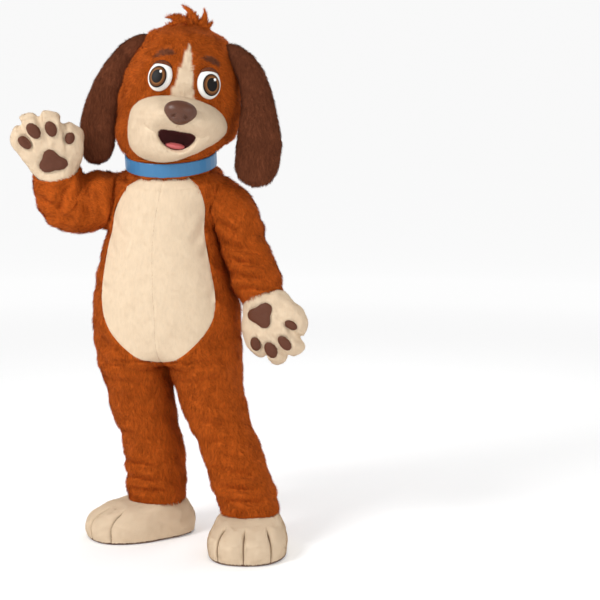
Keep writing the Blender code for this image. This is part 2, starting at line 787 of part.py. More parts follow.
def foot_frame(side):
    low = SUIT_HEM
    stretch = Matrix.Diagonal((1, 1, FOOT_STRETCH[side], 1))
    made = Matrix.Rotation(math.radians(FOOT_TURN[side]), 4, "Z") @ stretch
    radius, centre = half_section(low)
    x = side * (centre + 0.6 * GAP) + lean_at(low) + STANCE_X[side](low)
    made.translation = Vector((x, STANCE_Y[side](low), 0))
    return made


def make_foot(side, word, looks, parent):
    frame = foot_frame(side)

    def grid(inset):
        rows = [[frame @ foot_local(turn, level, inset) for turn in FOOT_TURNS] for level in FOOT_LEVELS]
        top = []
        for turn in FOOT_TURNS:
            a = math.radians(turn)
            reach = FOOT_NECK - inset
            top.append(frame @ Vector((reach * math.sin(a), -reach * math.cos(a), FOOT_NECK_TOP)))
        return rows + [top]

    outer, inner = grid(0.0), grid(CLOTH)
    for c in range(len(FOOT_TURNS)):
        inner[0][c].z = outer[0][c].z
    wall("foot_" + word, outer, inner, looks["cream"], parent, closed=True)
    ring = [frame @ foot_outline(turn) for turn in FOOT_TURNS]
    lift = Vector((0, 0, SOLE))
    stuffed("sole_" + word, [ring, [p + lift for p in ring]], looks["sole"], parent)


# ---------------------------------------------------------------- stuffed tail and ears
# A stuffed piece's middle line, with its half width across and half thickness through.
Stuffing = namedtuple("Stuffing", "along x y height wide thick")
TAIL = [
    Stuffing(0.00, 0.002, 0.185, 0.835, 0.058, 0.054),
    Stuffing(0.12, 0.002, 0.232, 0.820, 0.061, 0.060),
    Stuffing(0.28, -0.004, 0.284, 0.765, 0.064, 0.064),
    Stuffing(0.46, -0.026, 0.312, 0.690, 0.064, 0.064),
    Stuffing(0.64, -0.078, 0.322, 0.625, 0.060, 0.060),
    Stuffing(0.80, -0.148, 0.320, 0.592, 0.053, 0.053),
    Stuffing(0.93, -0.212, 0.310, 0.588, 0.044, 0.044),
    Stuffing(1.00, -0.246, 0.303, 0.592, 0.030, 0.030),
]
TAIL_TIP = (-0.262, 0.300, 0.594)
TAIL_SPLIT = 0.76
TAIL_SEAM = 0.002
TAIL_SIDES = 14
EARS = {
    -1: [
        Stuffing(0.00, -0.052, 0.004, 1.722, 0.030, 0.022),
        Stuffing(0.12, -0.100, 0.002, 1.700, 0.042, 0.027),
        Stuffing(0.30, -0.158, -0.002, 1.630, 0.053, 0.031),
        Stuffing(0.50, -0.208, -0.006, 1.530, 0.063, 0.033),
        Stuffing(0.70, -0.234, -0.010, 1.420, 0.069, 0.034),
        Stuffing(0.86, -0.238, -0.012, 1.352, 0.064, 0.031),
        Stuffing(0.95, -0.234, -0.012, 1.316, 0.045, 0.022),
    ],
    1: [
        Stuffing(0.00, 0.206, -0.004, 1.690, 0.030, 0.022),
        Stuffing(0.12, 0.254, -0.010, 1.665, 0.042, 0.027),
        Stuffing(0.30, 0.308, -0.022, 1.585, 0.050, 0.031),
        Stuffing(0.50, 0.330, -0.040, 1.475, 0.063, 0.033),
        Stuffing(0.70, 0.334, -0.058, 1.365, 0.080, 0.034),
        Stuffing(0.86, 0.324, -0.066, 1.286, 0.076, 0.031),
        Stuffing(0.95, 0.318, -0.068, 1.246, 0.056, 0.023),
    ],
}
EAR_TIPS = {-1: (-0.232, -0.012, 1.298), 1: (0.315, -0.068, 1.224)}
EAR_TURN = {-1: 12.0, 1: 18.0}
EAR_SIDES = 14
EAR_STEPS = 11


def middle_frame(rows, along, across):
    """Frame on a stuffed piece's middle line: X across it, Y through it, Z along it."""
    read = {name: column(rows, name) for name in ("x", "y", "height", "wide", "thick")}

    def middle(t):
        return Vector((read["x"](t), read["y"](t), read["height"](t)))

    step = 0.04
    run = (middle(min(along + step, 1.0)) - middle(max(along - step, 0.0))).normalized()
    side = (across - run * across.dot(run)).normalized()
    frame = Matrix((side, run.cross(side), run)).transposed().to_4x4()
    frame.translation = middle(along)
    return frame, read["wide"](along), read["thick"](along)


def stuffed_ring(rows, along, across, sides):
    frame, wide, thick = middle_frame(rows, along, across)
    turns = [2 * math.pi * i / sides for i in range(sides)]
    return [frame @ Vector((wide * math.cos(t), thick * math.sin(t), 0)) for t in turns]


def make_tail(looks, parent, suit_cutter):
    across = Vector((1, 0, 0.35))

    def rings(start, end, count):
        alongs = [start + (end - start) * i / count for i in range(count + 1)]
        return [stuffed_ring(TAIL, along, across, TAIL_SIDES) for along in alongs]

    cut(stuffed("tail", rings(0.0, TAIL_SPLIT, 9), looks["rust"], parent), suit_cutter)
    tips = (None, Vector(TAIL_TIP))
    stuffed("tail_tip", rings(TAIL_SPLIT + TAIL_SEAM, 1.0, 4), looks["cream"], parent, tips=tips)


def make_ear(side, word, looks, parent, head_cutter):
    turn = math.radians(EAR_TURN[side])
    across = Vector((side * math.cos(turn), math.sin(turn), 0))
    last = EARS[side][-1].along
    rings = [stuffed_ring(EARS[side], last * i / EAR_STEPS, across, EAR_SIDES) for i in range(EAR_STEPS + 1)]
    ear = stuffed("ear_" + word, rings, looks["ear"], parent, tips=(None, Vector(EAR_TIPS[side])))
    cut(ear, head_cutter)


# ---------------------------------------------------------------- head
HEAD_ROLL = 9.0
HEAD_YAW = 12.0
MUZZLE_MIDDLE = 0.150
MUZZLE_RADIUS = 0.096
MUZZLE_ANGLE = 54.0
MUZZLE_STEPS = 10
NECK_TOP = 0.052
HEAD_SETTLE = 0.10
HEAD_TIP = 0.497
HEAD_COLUMNS = 7

# The head's sections above the neck's middle: half width, and depths in front and behind.
HEAD_SECTIONS = [
    Section(0.000, 0.150, 0.150, 0.150),
    Section(0.052, 0.150, 0.150, 0.150),
    Section(0.075, 0.174, 0.163, 0.168),
    Section(0.100, 0.192, 0.170, 0.181),
    Section(0.150, 0.204, 0.176, 0.193),
    Section(0.200, 0.206, 0.179, 0.198),
    Section(0.260, 0.201, 0.178, 0.195),
    Section(0.320, 0.187, 0.168, 0.183),
    Section(0.380, 0.161, 0.148, 0.160),
    Section(0.430, 0.125, 0.116, 0.125),
    Section(0.465, 0.084, 0.078, 0.084),
    Section(0.488, 0.038, 0.036, 0.038),
]
HEAD_FRAME = (
    Matrix.Translation(NECK_FRAME.translation)
    @ Matrix.Rotation(math.radians(HEAD_ROLL), 4, "Y")
    @ Matrix.Rotation(math.radians(HEAD_YAW), 4, "Z")
)
head_width_at = column(HEAD_SECTIONS, "half_width")
head_front_at = column(HEAD_SECTIONS, "front")
head_back_at = column(HEAD_SECTIONS, "back")


def head_point(angle, rise):
    """A point of the head: angle in degrees from the front to its left side, rise above the neck's middle."""
    a = math.radians(angle)
    depth = head_front_at(rise) if math.cos(a) > 0 else head_back_at(rise)
    local = Vector((head_width_at(rise) * math.sin(a), -depth * math.cos(a), rise))
    return (NECK_FRAME @ local).lerp(HEAD_FRAME @ local, ease((rise - NECK_TOP) / HEAD_SETTLE))


def face_cut(rise):
    """Half angle of the opening that the muzzle fills."""
    t = (rise - MUZZLE_MIDDLE) / MUZZLE_RADIUS
    return MUZZLE_ANGLE * math.sqrt(max(1 - t * t, 0.0))


MUZZLE_TURNS = [math.pi * i / MUZZLE_STEPS for i in range(MUZZLE_STEPS + 1)]
MUZZLE_RISES = [MUZZLE_MIDDLE - MUZZLE_RADIUS * math.cos(turn) for turn in MUZZLE_TURNS]
HEAD_RISES = [0.0, 0.030, NECK_TOP] + MUZZLE_RISES + [0.270, 0.310, 0.350, 0.390, 0.425, 0.455, 0.478, 0.490]


def head_half(side, u, v):
    """A point of one half of the head, u degrees round from the front and v above the neck's middle."""
    return head_point(side * u, v) + Vector((side * 0.6 * GAP, 0, 0))


def head_columns(rise):
    start = face_cut(rise)
    return [start + (180.0 - start) * i / HEAD_COLUMNS for i in range(HEAD_COLUMNS + 1)]


def make_head(side, word, looks, parent):
    """One half of the head. Returns a cutter a little larger than it, for what is sewn on."""

    def surface(u, v):
        return head_half(side, u, v)

    outer, inner = skins(surface, head_columns, HEAD_RISES, FOAM, flip=side)
    shift = Vector((side * 0.6 * GAP, 0, 0))
    top, low = (HEAD_FRAME @ Vector((0, 0, rise)) + shift for rise in (HEAD_TIP, HEAD_TIP - FOAM))
    wall("head_" + word, outer, inner, looks["rust"], parent, tips=(None, (top, low)))
    middle = HEAD_FRAME @ Vector((0, 0, HEAD_TIP / 2))
    grown = [[point + (point - middle).normalized() * (1.2 * GAP) for point in ring] for ring in outer]
    past_seam = Vector((-side * 1.5 * GAP, 0, 0))
    for ring in grown:
        ring[0] += past_seam
        ring[-1] += past_seam
    tip = top + (top - middle).normalized() * (1.2 * GAP) + past_seam
    return as_cutter(stuffed("head_cutter_" + word, grown, looks["rust"], parent, tips=(None, tip)))


# ---------------------------------------------------------------- muzzle, mouth and nose
MOUTH_FRONT = -0.232
MOUTH_RISE = 0.100
MOUTH_WIDE = 0.068
MOUTH_HIGH = 0.036
MOUTH_LEAN = 0.25
MOUTH_SMILE = 0.018
MUZZLE_BULGES = (0.076, 0.042, 0.024)
JOWL = 0.016
MUZZLE_LEVELS = (0.0, 0.15, 0.32, 0.50, 0.68, 0.86, 1.0)
NOSE_AT = (0.0, -0.276, 0.196)
NOSE_SIZE = (0.050, 0.034, 0.037)
LINING = 0.003


def mouth_edge(turn, scale=1.0):
    """The mouth's edge in the head's own frame, 0 at its top. Its corners sit a little high."""
    a = math.radians(turn)
    rise = MOUTH_RISE + scale * (MOUTH_HIGH * math.cos(a) + MOUTH_SMILE * math.sin(a) ** 2)
    front = MOUTH_FRONT - MOUTH_LEAN * (rise - MOUTH_RISE)
    return Vector((scale * MOUTH_WIDE * math.sin(a), front, rise))


def muzzle_point(turn, level, inset=0.0):
    """A point of the muzzle: level 0 where it meets the head, 1 at the mouth's edge."""
    a = math.radians(turn)
    base = head_point(MUZZLE_ANGLE * math.sin(a), MUZZLE_MIDDLE + MUZZLE_RADIUS * math.cos(a))
    front = HEAD_FRAME.to_3x3() @ Vector((0, -1, 0))
    base += front * (2 * GAP)
    edge = HEAD_FRAME @ mouth_edge(turn)
    top, flank, chin = MUZZLE_BULGES
    bulge = flank + (top - flank) * max(math.cos(a), 0.0) + (chin - flank) * max(-math.cos(a), 0.0)
    arch = math.sin(math.pi * min(max(level, 0.0), 1.0)) ** 0.8
    jowl = JOWL * math.sin(2 * a) ** 2 if math.cos(a) > 0 else 0.0
    place = base.lerp(edge, level ** 1.1) + front * (bulge * arch + jowl * math.sin(math.pi * level))
    middle = HEAD_FRAME @ Vector((0, -0.12, MUZZLE_MIDDLE - 0.02))
    return place + (middle - place).normalized() * inset


def ellipsoid(name, frame, size, look, parent, sides=20, rows=9):
    """A closed egg-shaped solid round a frame's origin."""
    rings = []
    for r in range(1, rows):
        polar = math.pi * r / rows
        ring = []
        for c in range(sides):
            a = 2 * math.pi * c / sides
            ball = Vector((math.sin(polar) * math.cos(a), math.sin(polar) * math.sin(a), math.cos(polar)))
            ring.append(frame @ Vector((size[0] * ball.x, size[1] * ball.y, size[2] * ball.z)))
        rings.append(ring)
    tips = (frame @ Vector((0, 0, size[2])), frame @ Vector((0, 0, -size[2])))
    return stuffed(name, rings, look, parent, tips=tips)


def make_muzzle(looks, parent):
    turns = [360.0 * i / (2 * MUZZLE_STEPS) for i in range(2 * MUZZLE_STEPS)]

    def grid(inset):
        return [[muzzle_point(turn, level, inset) for turn in turns] for level in MUZZLE_LEVELS]

    outer, inner = grid(0.0), grid(FOAM)
    wall("muzzle", outer, inner, looks["cream"], parent, closed=True)
    cutter = as_cutter(stuffed("muzzle_cutter", grid(-2 * GAP), looks["cream"], parent))
    nose_frame = HEAD_FRAME @ Matrix.Translation(NOSE_AT)
    cut(ellipsoid("nose", nose_frame, NOSE_SIZE, looks["nose"], parent, 14, 7), cutter)

    def lining_ring(share, back, extra):
        return [HEAD_FRAME @ (mouth_edge(turn, share) + Vector((0, back + extra, 0))) for turn in turns]

    steps = ((1.05, FOAM), (1.00, 0.035), (0.86, 0.055), (0.55, 0.070))
    outer = [lining_ring(share, back, 0.0) for share, back in steps]
    inner = [lining_ring(share - LINING / MOUTH_HIGH, back, 0.0) for share, back in steps[:1]]
    inner += [lining_ring(share - LINING / MOUTH_HIGH, back, -LINING) for share, back in steps[1:]]
    middle = HEAD_FRAME @ Vector((0, MOUTH_FRONT + 0.074, MOUTH_RISE))
    front = HEAD_FRAME @ Vector((0, MOUTH_FRONT + 0.074 - LINING, MOUTH_RISE))
    wall("mouth_lining", outer, inner, looks["mouth"], parent, closed=True, tips=(None, (middle, front)))
    tongue_frame = HEAD_FRAME @ Matrix.Translation((0, MOUTH_FRONT + 0.0305, MOUTH_RISE - 0.0175))
    ellipsoid("tongue", tongue_frame, (0.036, 0.026, 0.011), looks["tongue"], parent, sides=12, rows=5)


# ---------------------------------------------------------------- eyes
EYE_ANGLE = 25.0
EYE_RISE = 0.300
EYE_SIZE = (0.042, 0.023, 0.051)
IRIS_SIZE = (0.025, 0.0085, 0.030)
IRIS_SINK = 0.0035


def eye_frame(side, out):
    """Frame at an eye, Y into the head, its middle set out from the head's surface."""
    point = head_point(side * EYE_ANGLE, EYE_RISE)
    right = (head_point(side * EYE_ANGLE + 1, EYE_RISE) - point).normalized()
    up = (head_point(side * EYE_ANGLE, EYE_RISE + 0.01) - point).normalized()
    inward = up.cross(right).normalized()
    up = right.cross(inward)
    frame = Matrix((right, inward, up)).transposed().to_4x4()
    frame.translation = point - inward * out
    return frame


def make_eye(side, word, looks, parent, head_cutter):
    eye = ellipsoid("eye_" + word, eye_frame(side, 0.0), EYE_SIZE, looks["eye"], parent, 14, 7)
    cut(eye, head_cutter)
    larger = [extent + 1.6 * GAP for extent in EYE_SIZE]
    around = ellipsoid("eye_cutter_" + word, eye_frame(side, 0.0), larger, looks["eye"], parent, 14, 7)
    iris_frame = eye_frame(side, EYE_SIZE[1] - IRIS_SINK)
    iris = ellipsoid("iris_" + word, iris_frame, IRIS_SIZE, looks["iris"], parent, 10, 6)
    cut(iris, as_cutter(around))


# ---------------------------------------------------------------- tuft and collar
# Locks of the tuft: lean to the left and backwards in degrees, length, and half width at the root.
Lock = namedtuple("Lock", "turn lean length width")
LOCKS = [
    Lock(-95.0, 50.0, 0.085, 0.023),
    Lock(-75.0, 22.0, 0.088, 0.026),
    Lock(60.0, 24.0, 0.070, 0.022),
    Lock(150.0, 36.0, 0.066, 0.021),
    Lock(-20.0, 40.0, 0.058, 0.020),
]
TUFT_SIZE = (0.038, 0.034, 0.017)
COLLAR_RADIUS = 0.1575
COLLAR_INNER = 0.1509
COLLAR_LOW = 0.002
COLLAR_HIGH = 0.050
COLLAR_SIDES = 36


def lock_ring(lock, share):
    """A four-sided ring of a lock, which curves outwards and tapers to its tip."""
    turn, lean = math.radians(lock.turn), math.radians(lock.lean)
    out = Vector((math.sin(turn), -math.cos(turn), 0))
    reach = lock.length * share
    bend = lean * (0.5 + 0.8 * share)
    middle = out * (0.010 + reach * math.sin(bend)) + Vector((0, 0, HEAD_TIP + reach * math.cos(bend)))
    side = Vector((-out.y, out.x, 0))
    face = out * math.cos(bend) - Vector((0, 0, math.sin(bend)))
    width = lock.width * (1 - share) ** 0.7
    corners = ((1, 0), (0, 0.6), (-1, 0), (0, -0.6))
    return [HEAD_FRAME @ (middle + side * (width * u) + face * (width * v)) for u, v in corners]


def make_tuft(looks, parent, head_cutters):
    frame = HEAD_FRAME @ Matrix.Translation((0, 0, HEAD_TIP - 0.002))
    tuft = ellipsoid("tuft", frame, TUFT_SIZE, looks["rust"], parent, sides=12, rows=6)
    for number, lock in enumerate(LOCKS):
        rings = [lock_ring(lock, share) for share in (0.0, 0.35, 0.7)]
        tip = sum(lock_ring(lock, 1.0), Vector()) / 4
        strand = stuffed(f"lock_{number}", rings, looks["rust"], parent, tips=(None, tip))
        join = tuft.modifiers.new("join", "BOOLEAN")
        join.operation = "UNION"
        join.solver = "EXACT"
        join.object = as_cutter(strand)
    for cutter in head_cutters:
        cut(tuft, cutter)


def make_collar(looks, parent):
    turns = [360.0 * i / COLLAR_SIDES for i in range(COLLAR_SIDES)]
    rises = (COLLAR_LOW, COLLAR_HIGH)
    outer = [[neck_point(COLLAR_RADIUS, turn, rise) for turn in turns] for rise in rises]
    inner = [[neck_point(COLLAR_INNER, turn, rise) for turn in turns] for rise in rises]
    wall("collar", outer, inner, looks["blue"], parent, closed=True)


# ---------------------------------------------------------------- the whole costume
def main():
    for old in list(bpy.data.objects):
        bpy.data.objects.remove(old, do_unlink=True)
    costume = bpy.data.objects.new("costume", None)
    costume.location = (0, 0, -SHOULDER_HEIGHT)
    bpy.context.collection.objects.link(costume)
    looks = {
        "rust": material("rust_fur", RUST, 0.9),
        "cream": material("cream_fur", CREAM, 0.9),
        "ear": material("dark_fur", DARK_BROWN, 0.9),
        "pad": material("paw_pad", PAD_BROWN, 0.5),
        "sole": material("sole", PAD_BROWN, 0.7),
        "nose": material("nose", PAD_BROWN, 0.4),
        "mouth": material("mouth_lining", MOUTH_DARK, 0.8),
        "tongue": material("tongue", TONGUE_RED, 0.6),
        "eye": material("eye_white", EYE_WHITE, 0.2),
        "iris": material("iris", IRIS_BROWN, 0.15),
        "blue": material("collar", BLUE, 0.45),
    }
    make_suit(looks, costume)
    make_tail(looks, costume, make_suit_cutter(looks, costume))
    for side, word in ((-1, "right"), (1, "left")):
        make_sleeve(side, "sleeve_" + word, looks["rust"], costume)
        make_paw(side, word, looks, costume)
        make_foot(side, word, looks, costume)
    make_muzzle(looks, costume)
    head_cutters = []
    for side, word in ((-1, "right"), (1, "left")):
        head_cutters.append(make_head(side, word, looks, costume))
        make_eye(side, word, looks, costume, head_cutters[-1])
        make_ear(side, word, looks, costume, head_cutters[-1])
    make_tuft(looks, costume, head_cutters)
    make_collar(looks, costume)


main()
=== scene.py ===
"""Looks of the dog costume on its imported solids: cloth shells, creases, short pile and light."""

import json
from collections import namedtuple
from math import copysign, cos, exp, pi, radians, sin, sqrt, tanh

import bmesh
import bpy
import numpy as np
from mathutils import Matrix, Vector
from mathutils.bvhtree import BVHTree
from mathutils.kdtree import KDTree

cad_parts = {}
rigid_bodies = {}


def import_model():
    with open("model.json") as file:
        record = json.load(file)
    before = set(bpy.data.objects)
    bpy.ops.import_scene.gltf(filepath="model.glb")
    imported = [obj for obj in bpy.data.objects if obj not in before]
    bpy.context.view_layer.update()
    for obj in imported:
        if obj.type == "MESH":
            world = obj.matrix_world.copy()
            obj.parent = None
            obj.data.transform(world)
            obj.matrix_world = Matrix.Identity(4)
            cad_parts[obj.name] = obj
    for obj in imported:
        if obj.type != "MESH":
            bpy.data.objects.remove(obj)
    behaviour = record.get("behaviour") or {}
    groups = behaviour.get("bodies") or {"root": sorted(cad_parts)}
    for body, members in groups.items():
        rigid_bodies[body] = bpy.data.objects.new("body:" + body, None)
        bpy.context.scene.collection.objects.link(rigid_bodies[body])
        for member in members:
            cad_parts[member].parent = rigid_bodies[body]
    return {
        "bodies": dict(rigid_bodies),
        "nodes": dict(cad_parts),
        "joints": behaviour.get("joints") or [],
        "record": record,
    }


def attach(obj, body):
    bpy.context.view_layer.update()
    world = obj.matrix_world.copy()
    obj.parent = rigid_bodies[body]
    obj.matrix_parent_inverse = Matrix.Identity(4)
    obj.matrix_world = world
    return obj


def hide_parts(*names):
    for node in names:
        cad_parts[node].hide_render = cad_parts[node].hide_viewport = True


FLOOR = -1.28
RUST = (0.470, 0.090, 0.0090)
CREAM = (0.73, 0.575, 0.408)
DARK = (0.150, 0.045, 0.020)

rng = np.random.default_rng(11)


# ---------------- camera and light
CAMERA_TURN = 12.0
CAMERA_AWAY = 5.6
CAMERA_HIGH = 1.5
CAMERA_TILT = 6.85
CAMERA_ASIDE = 4.73
CAMERA_FIELD = 21.0


def make_camera():
    data = bpy.data.cameras.new("camera")
    data.angle = radians(CAMERA_FIELD)
    camera = as_object("camera", data)
    turn = radians(CAMERA_TURN)
    camera.location = (CAMERA_AWAY * sin(turn), -CAMERA_AWAY * cos(turn), CAMERA_HIGH + FLOOR)
    camera.rotation_euler = (radians(90 - CAMERA_TILT), 0, radians(CAMERA_TURN - CAMERA_ASIDE))
    bpy.context.scene.camera = camera


SKY_GLOW = 0.42
LIGHT_AIM = Vector((0, 0, -0.35))
# Each light's name, place, width and power.
LIGHTS = (
    ("key", (-2.6, -3.2, 2.6), 1.7, 135),
    ("fill", (3.2, -3.0, 1.4), 2.6, 20),
    ("back", (0.8, 3.2, 2.6), 2.2, 45),
)


def make_light():
    for name, place, size, power in LIGHTS:
        data = bpy.data.lights.new(name, "AREA")
        data.shape = "DISK"
        data.size = size
        data.energy = power
        light = as_object(name, data)
        light.location = place
        light.rotation_euler = (LIGHT_AIM - Vector(place)).to_track_quat("-Z", "Y").to_euler()
    world = bpy.data.worlds.new("studio")
    world.use_nodes = True
    sky = world.node_tree.nodes["Background"]
    sky.inputs["Color"].default_value = (1, 1, 1, 1)
    sky.inputs["Strength"].default_value = SKY_GLOW
    bpy.context.scene.world = world
    bpy.context.scene.view_settings.view_transform = "Standard"


STUDIO_MIDDLE, STUDIO_FLAT, STUDIO_ROUND, STUDIO_TOP = 4.0, 8.5, 2.5, 9.0
STUDIO_SIDES, STUDIO_BENDS = 96, 12
FLOOR_WHITE = 0.93
FLOOR_GLOW, WALL_GLOW = 0.16, 0.93
FADE_FROM, FADE_TO = 3.0, 7.0


def make_floor():
    """A pale round floor that curves up into a pale wall all round, well beyond every camera and light."""
    profile = [(STUDIO_MIDDLE, 0.0), (STUDIO_FLAT, 0.0)]
    for i in range(1, STUDIO_BENDS + 1):
        turn = radians(90.0 / STUDIO_BENDS * i)
        profile.append((STUDIO_FLAT + STUDIO_ROUND * sin(turn), STUDIO_ROUND * (1 - cos(turn))))
    profile.append((STUDIO_FLAT + STUDIO_ROUND, STUDIO_TOP))
    turns = [2 * pi * i / STUDIO_SIDES for i in range(STUDIO_SIDES)]
    verts = [(r * cos(a), r * sin(a), z) for r, z in profile for a in turns]
    faces = [tuple(range(STUDIO_SIDES))]
    faces += [face[::-1] for face in tube_faces(len(profile) - 1, STUDIO_SIDES)]
    mesh = bpy.data.meshes.new("floor")
    mesh.from_pydata(verts, [], faces)
    mesh.shade_smooth()
    floor = as_object("floor", mesh)
    floor.location.z = FLOOR - 0.0005
    white = plain("floor_white", (FLOOR_WHITE, 0.925, 0.92), 0.9)
    tree = white.node_tree
    shader = tree.nodes[SHADER]
    shader.inputs["Emission Color"].default_value = (1, 1, 1, 1)
    place = shader_node(tree, "TexCoord")
    far = shader_node(tree, "VectorMath", operation="LENGTH")
    link(tree, place, "Object", far, 0)
    fades = (("Emission Strength", FLOOR_GLOW, WALL_GLOW), ("Base Color", FLOOR_WHITE, 0.0))
    for socket, near, away in fades:
        reach = {"From Min": FADE_FROM, "From Max": FADE_TO, "To Min": near, "To Max": away}
        fade = shader_node(tree, "MapRange", reach)
        link(tree, far, "Value", fade, "Value")
        link(tree, fade, "Result", shader, socket)
    floor.data.materials.append(white)


# ---------------- materials
SHADER = "Principled BSDF"
LAYOUT = "OFBake"


def plain(name, colour, roughness, sheen=0.0, coat=0.0, specular=0.5):
    material = bpy.data.materials.new(name)
    material.use_nodes = True
    values = {
        "Base Color": (*colour, 1),
        "Roughness": roughness,
        "Specular IOR Level": specular,
        "Sheen Weight": sheen,
        "Sheen Tint": (*[min(c * 1.6 + 0.1, 1) for c in colour], 1),
        "Coat Weight": coat,
    }
    for socket, value in values.items():
        material.node_tree.nodes[SHADER].inputs[socket].default_value = value
    return material


def shader_node(tree, kind, inputs=None, **settings):
    """A new node with these settings of its own and these values on its sockets."""
    made = tree.nodes.new("ShaderNode" + kind)
    for name, value in settings.items():
        setattr(made, name, value)
    for socket, value in (inputs or {}).items():
        made.inputs[socket].default_value = value
    return made


def link(tree, source, output, target, socket):
    tree.links.new(source.outputs[output], target.inputs[socket])


def ramp(tree, stops):
    made = shader_node(tree, "ValToRGB")
    elements = made.color_ramp.elements
    elements[0].position, elements[0].color = stops[0][0], (*stops[0][1], 1)
    elements[1].position, elements[1].color = stops[-1][0], (*stops[-1][1], 1)
    for position, colour in stops[1:-1]:
        elements.new(position).color = (*colour, 1)
    return made


def shade(colour, factor):
    return tuple(min(c * factor, 1.0) for c in colour)


def furry(name, colour):
    return plain(name, colour, 1.0, specular=0.12)


def patterned(material, pattern, output, stops, bump, depth):
    """Colours a look by a pattern, and raises its surface by the same."""
    tree = material.node_tree
    shader = tree.nodes[SHADER]
    tones = ramp(tree, stops)
    raised = shader_node(tree, "Bump", {"Strength": bump, "Distance": depth})
    link(tree, pattern, output, tones, "Fac")
    link(tree, tones, "Color", shader, "Base Color")
    link(tree, pattern, output, raised, "Height")
    link(tree, raised, "Normal", shader, "Normal")
    return material


def plush(name, colour, dark, light, bump=0.15):
    """Short pile seen from a step away: mottled colour and a soft uneven surface."""
    material = furry(name, colour)
    tree = material.node_tree
    comb = shader_node(tree, "Mapping", {"Scale": (1.0, 1.0, 0.35)})
    noise = shader_node(tree, "TexNoise", {"Scale": 110.0, "Detail": 6.0, "Roughness": 0.7})
    link(tree, shader_node(tree, "TexCoord"), "Object", comb, "Vector")
    link(tree, comb, "Vector", noise, "Vector")
    stops = [(0.30, shade(colour, dark)), (0.52, colour), (0.74, shade(colour, light))]
    return patterned(material, noise, "Fac", stops, bump, 0.004)


def layout_parts(tree):
    """The numbers that a piece's layout gives each of its points."""
    parts = shader_node(tree, "SeparateXYZ")
    link(tree, shader_node(tree, "UVMap", uv_map=LAYOUT), "UV", parts, "Vector")
    return parts


def hair(name, colour, dark, light):
    """Blades of pile, each of its own tone, painted darker at the root where the blades shade each other and
    lighter at the tip where light catches it: painted shade and painted highlight.
    """
    material = furry(name, colour)
    tree = material.node_tree
    parts = layout_parts(tree)
    tones = ramp(tree, [(0.0, shade(colour, dark)), (0.48, colour), (1.0, shade(colour, light))])
    tone = shader_node(tree, "Math", {1: 0.70}, operation="MULTIPLY")
    # The height along the blade adds painted shade at the root and painted highlight at the tip.
    with_root_shade = shader_node(tree, "Math", {1: 0.30}, operation="MULTIPLY_ADD")
    link(tree, parts, "X", tone, 0)
    link(tree, parts, "Y", with_root_shade, 0)
    link(tree, tone, "Value", with_root_shade, 2)
    link(tree, with_root_shade, "Value", tones, "Fac")
    link(tree, tones, "Color", tree.nodes[SHADER], "Base Color")
    return material


MIX_FROM, MIX_TO = 6, 7


def marked_look(name, base, marks):
    """A base colour with marks laid over it: coat markings such as a blaze, and painted shade along a sewn
    groove.
    """
    material = furry(name, base)
    tree = material.node_tree
    before = None
    for attribute, marked in marks:
        read = shader_node(tree, "Attribute", attribute_name=attribute)
        mix = shader_node(tree, "Mix", {MIX_FROM: (*base, 1), MIX_TO: (*marked, 1)}, data_type="RGBA")
        link(tree, read, "Fac", mix, 0)
        if before:
            link(tree, before, 2, mix, MIX_FROM)
        before = mix
    link(tree, before, 2, tree.nodes[SHADER], "Base Color")
    return material


def moulded_look(name, colour, roughness, specular):
    """A smooth sheet with a fine grain."""
    material = plain(name, colour, roughness, specular=specular)
    tree = material.node_tree
    grain = shader_node(tree, "TexVoronoi", {"Scale": 420.0})
    link(tree, shader_node(tree, "TexCoord"), "Object", grain, "Vector")
    stops = [(0.0, shade(colour, 0.85)), (0.6, shade(colour, 1.1))]
    return patterned(material, grain, "Distance", stops, 0.18, 0.0008)


def iris_look():
    """A black pupil in a brown ring with a dark edge, by distance from the middle."""
    material = plain("iris_gloss", (0.10, 0.035, 0.010), 0.45, specular=0.15)
    tree = material.node_tree
    parts = layout_parts(tree)
    black, brown, amber = (0.004, 0.003, 0.003), (0.115, 0.040, 0.012), (0.26, 0.105, 0.030)
    stops = [(0.0, black), (0.60, black), (0.65, amber), (0.80, brown), (0.88, brown), (0.93, black)]
    rings = ramp(tree, stops)
    link(tree, parts, "X", rings, "Fac")
    link(tree, rings, "Color", tree.nodes[SHADER], "Base Color")
    return material


def make_looks():
    return {
        "rust_fur": plush("rust_plush", RUST, 0.45, 1.0),
        "cream_fur": plush("cream_plush", CREAM, 0.92, 1.04, bump=0.08),
        "dark_fur": plush("dark_plush", DARK, 0.5, 1.2),
        # Pile blades: painted shade at the root and painted highlight at the tip, over each blade's own tone.
        "rust_hair": hair("rust_hair", RUST, 0.36, 1.75),
        "cream_hair": hair("cream_hair", CREAM, 0.90, 1.08),
        "dark_hair": hair("dark_hair", DARK, 0.40, 1.9),
        "paw_pad": moulded_look("pad_leather", (0.105, 0.035, 0.018), 0.55, 0.20),
        "sole": plain("sole_sheet", (0.10, 0.04, 0.025), 0.7),
        "nose": moulded_look("nose_gloss", (0.095, 0.034, 0.018), 0.36, 0.35),
        "mouth_lining": plain("mouth_cloth", (0.10, 0.018, 0.016), 0.8),
        "tongue": plain("tongue_felt", (0.50, 0.10, 0.10), 0.6, sheen=0.2),
        "eye_white": plain("eye_gloss", (0.88, 0.87, 0.84), 0.25, coat=0.2),
        "iris": iris_look(),
        "head_fur": marked_look("head_plush", shade(RUST, 0.72), (("blaze", CREAM), ("brow", DARK))),
        # The shoe covers darken along their toe grooves: painted shade.
        "foot_fur": marked_look("foot_plush", CREAM, (("groove", (0.150, 0.080, 0.042)),)),
        "collar": plain("collar_satin", (0.034, 0.165, 0.345), 0.36, sheen=0.1),
    }


# ---------------- reading the frame
def gathered(nodes):
    """The points and faces of several nodes together."""
    points, faces = [], []
    for node in nodes:
        start = len(points)
        points.extend(v.co.copy() for v in node.data.vertices)
        faces.extend(tuple(start + i for i in p.vertices) for p in node.data.polygons)
    return points, faces


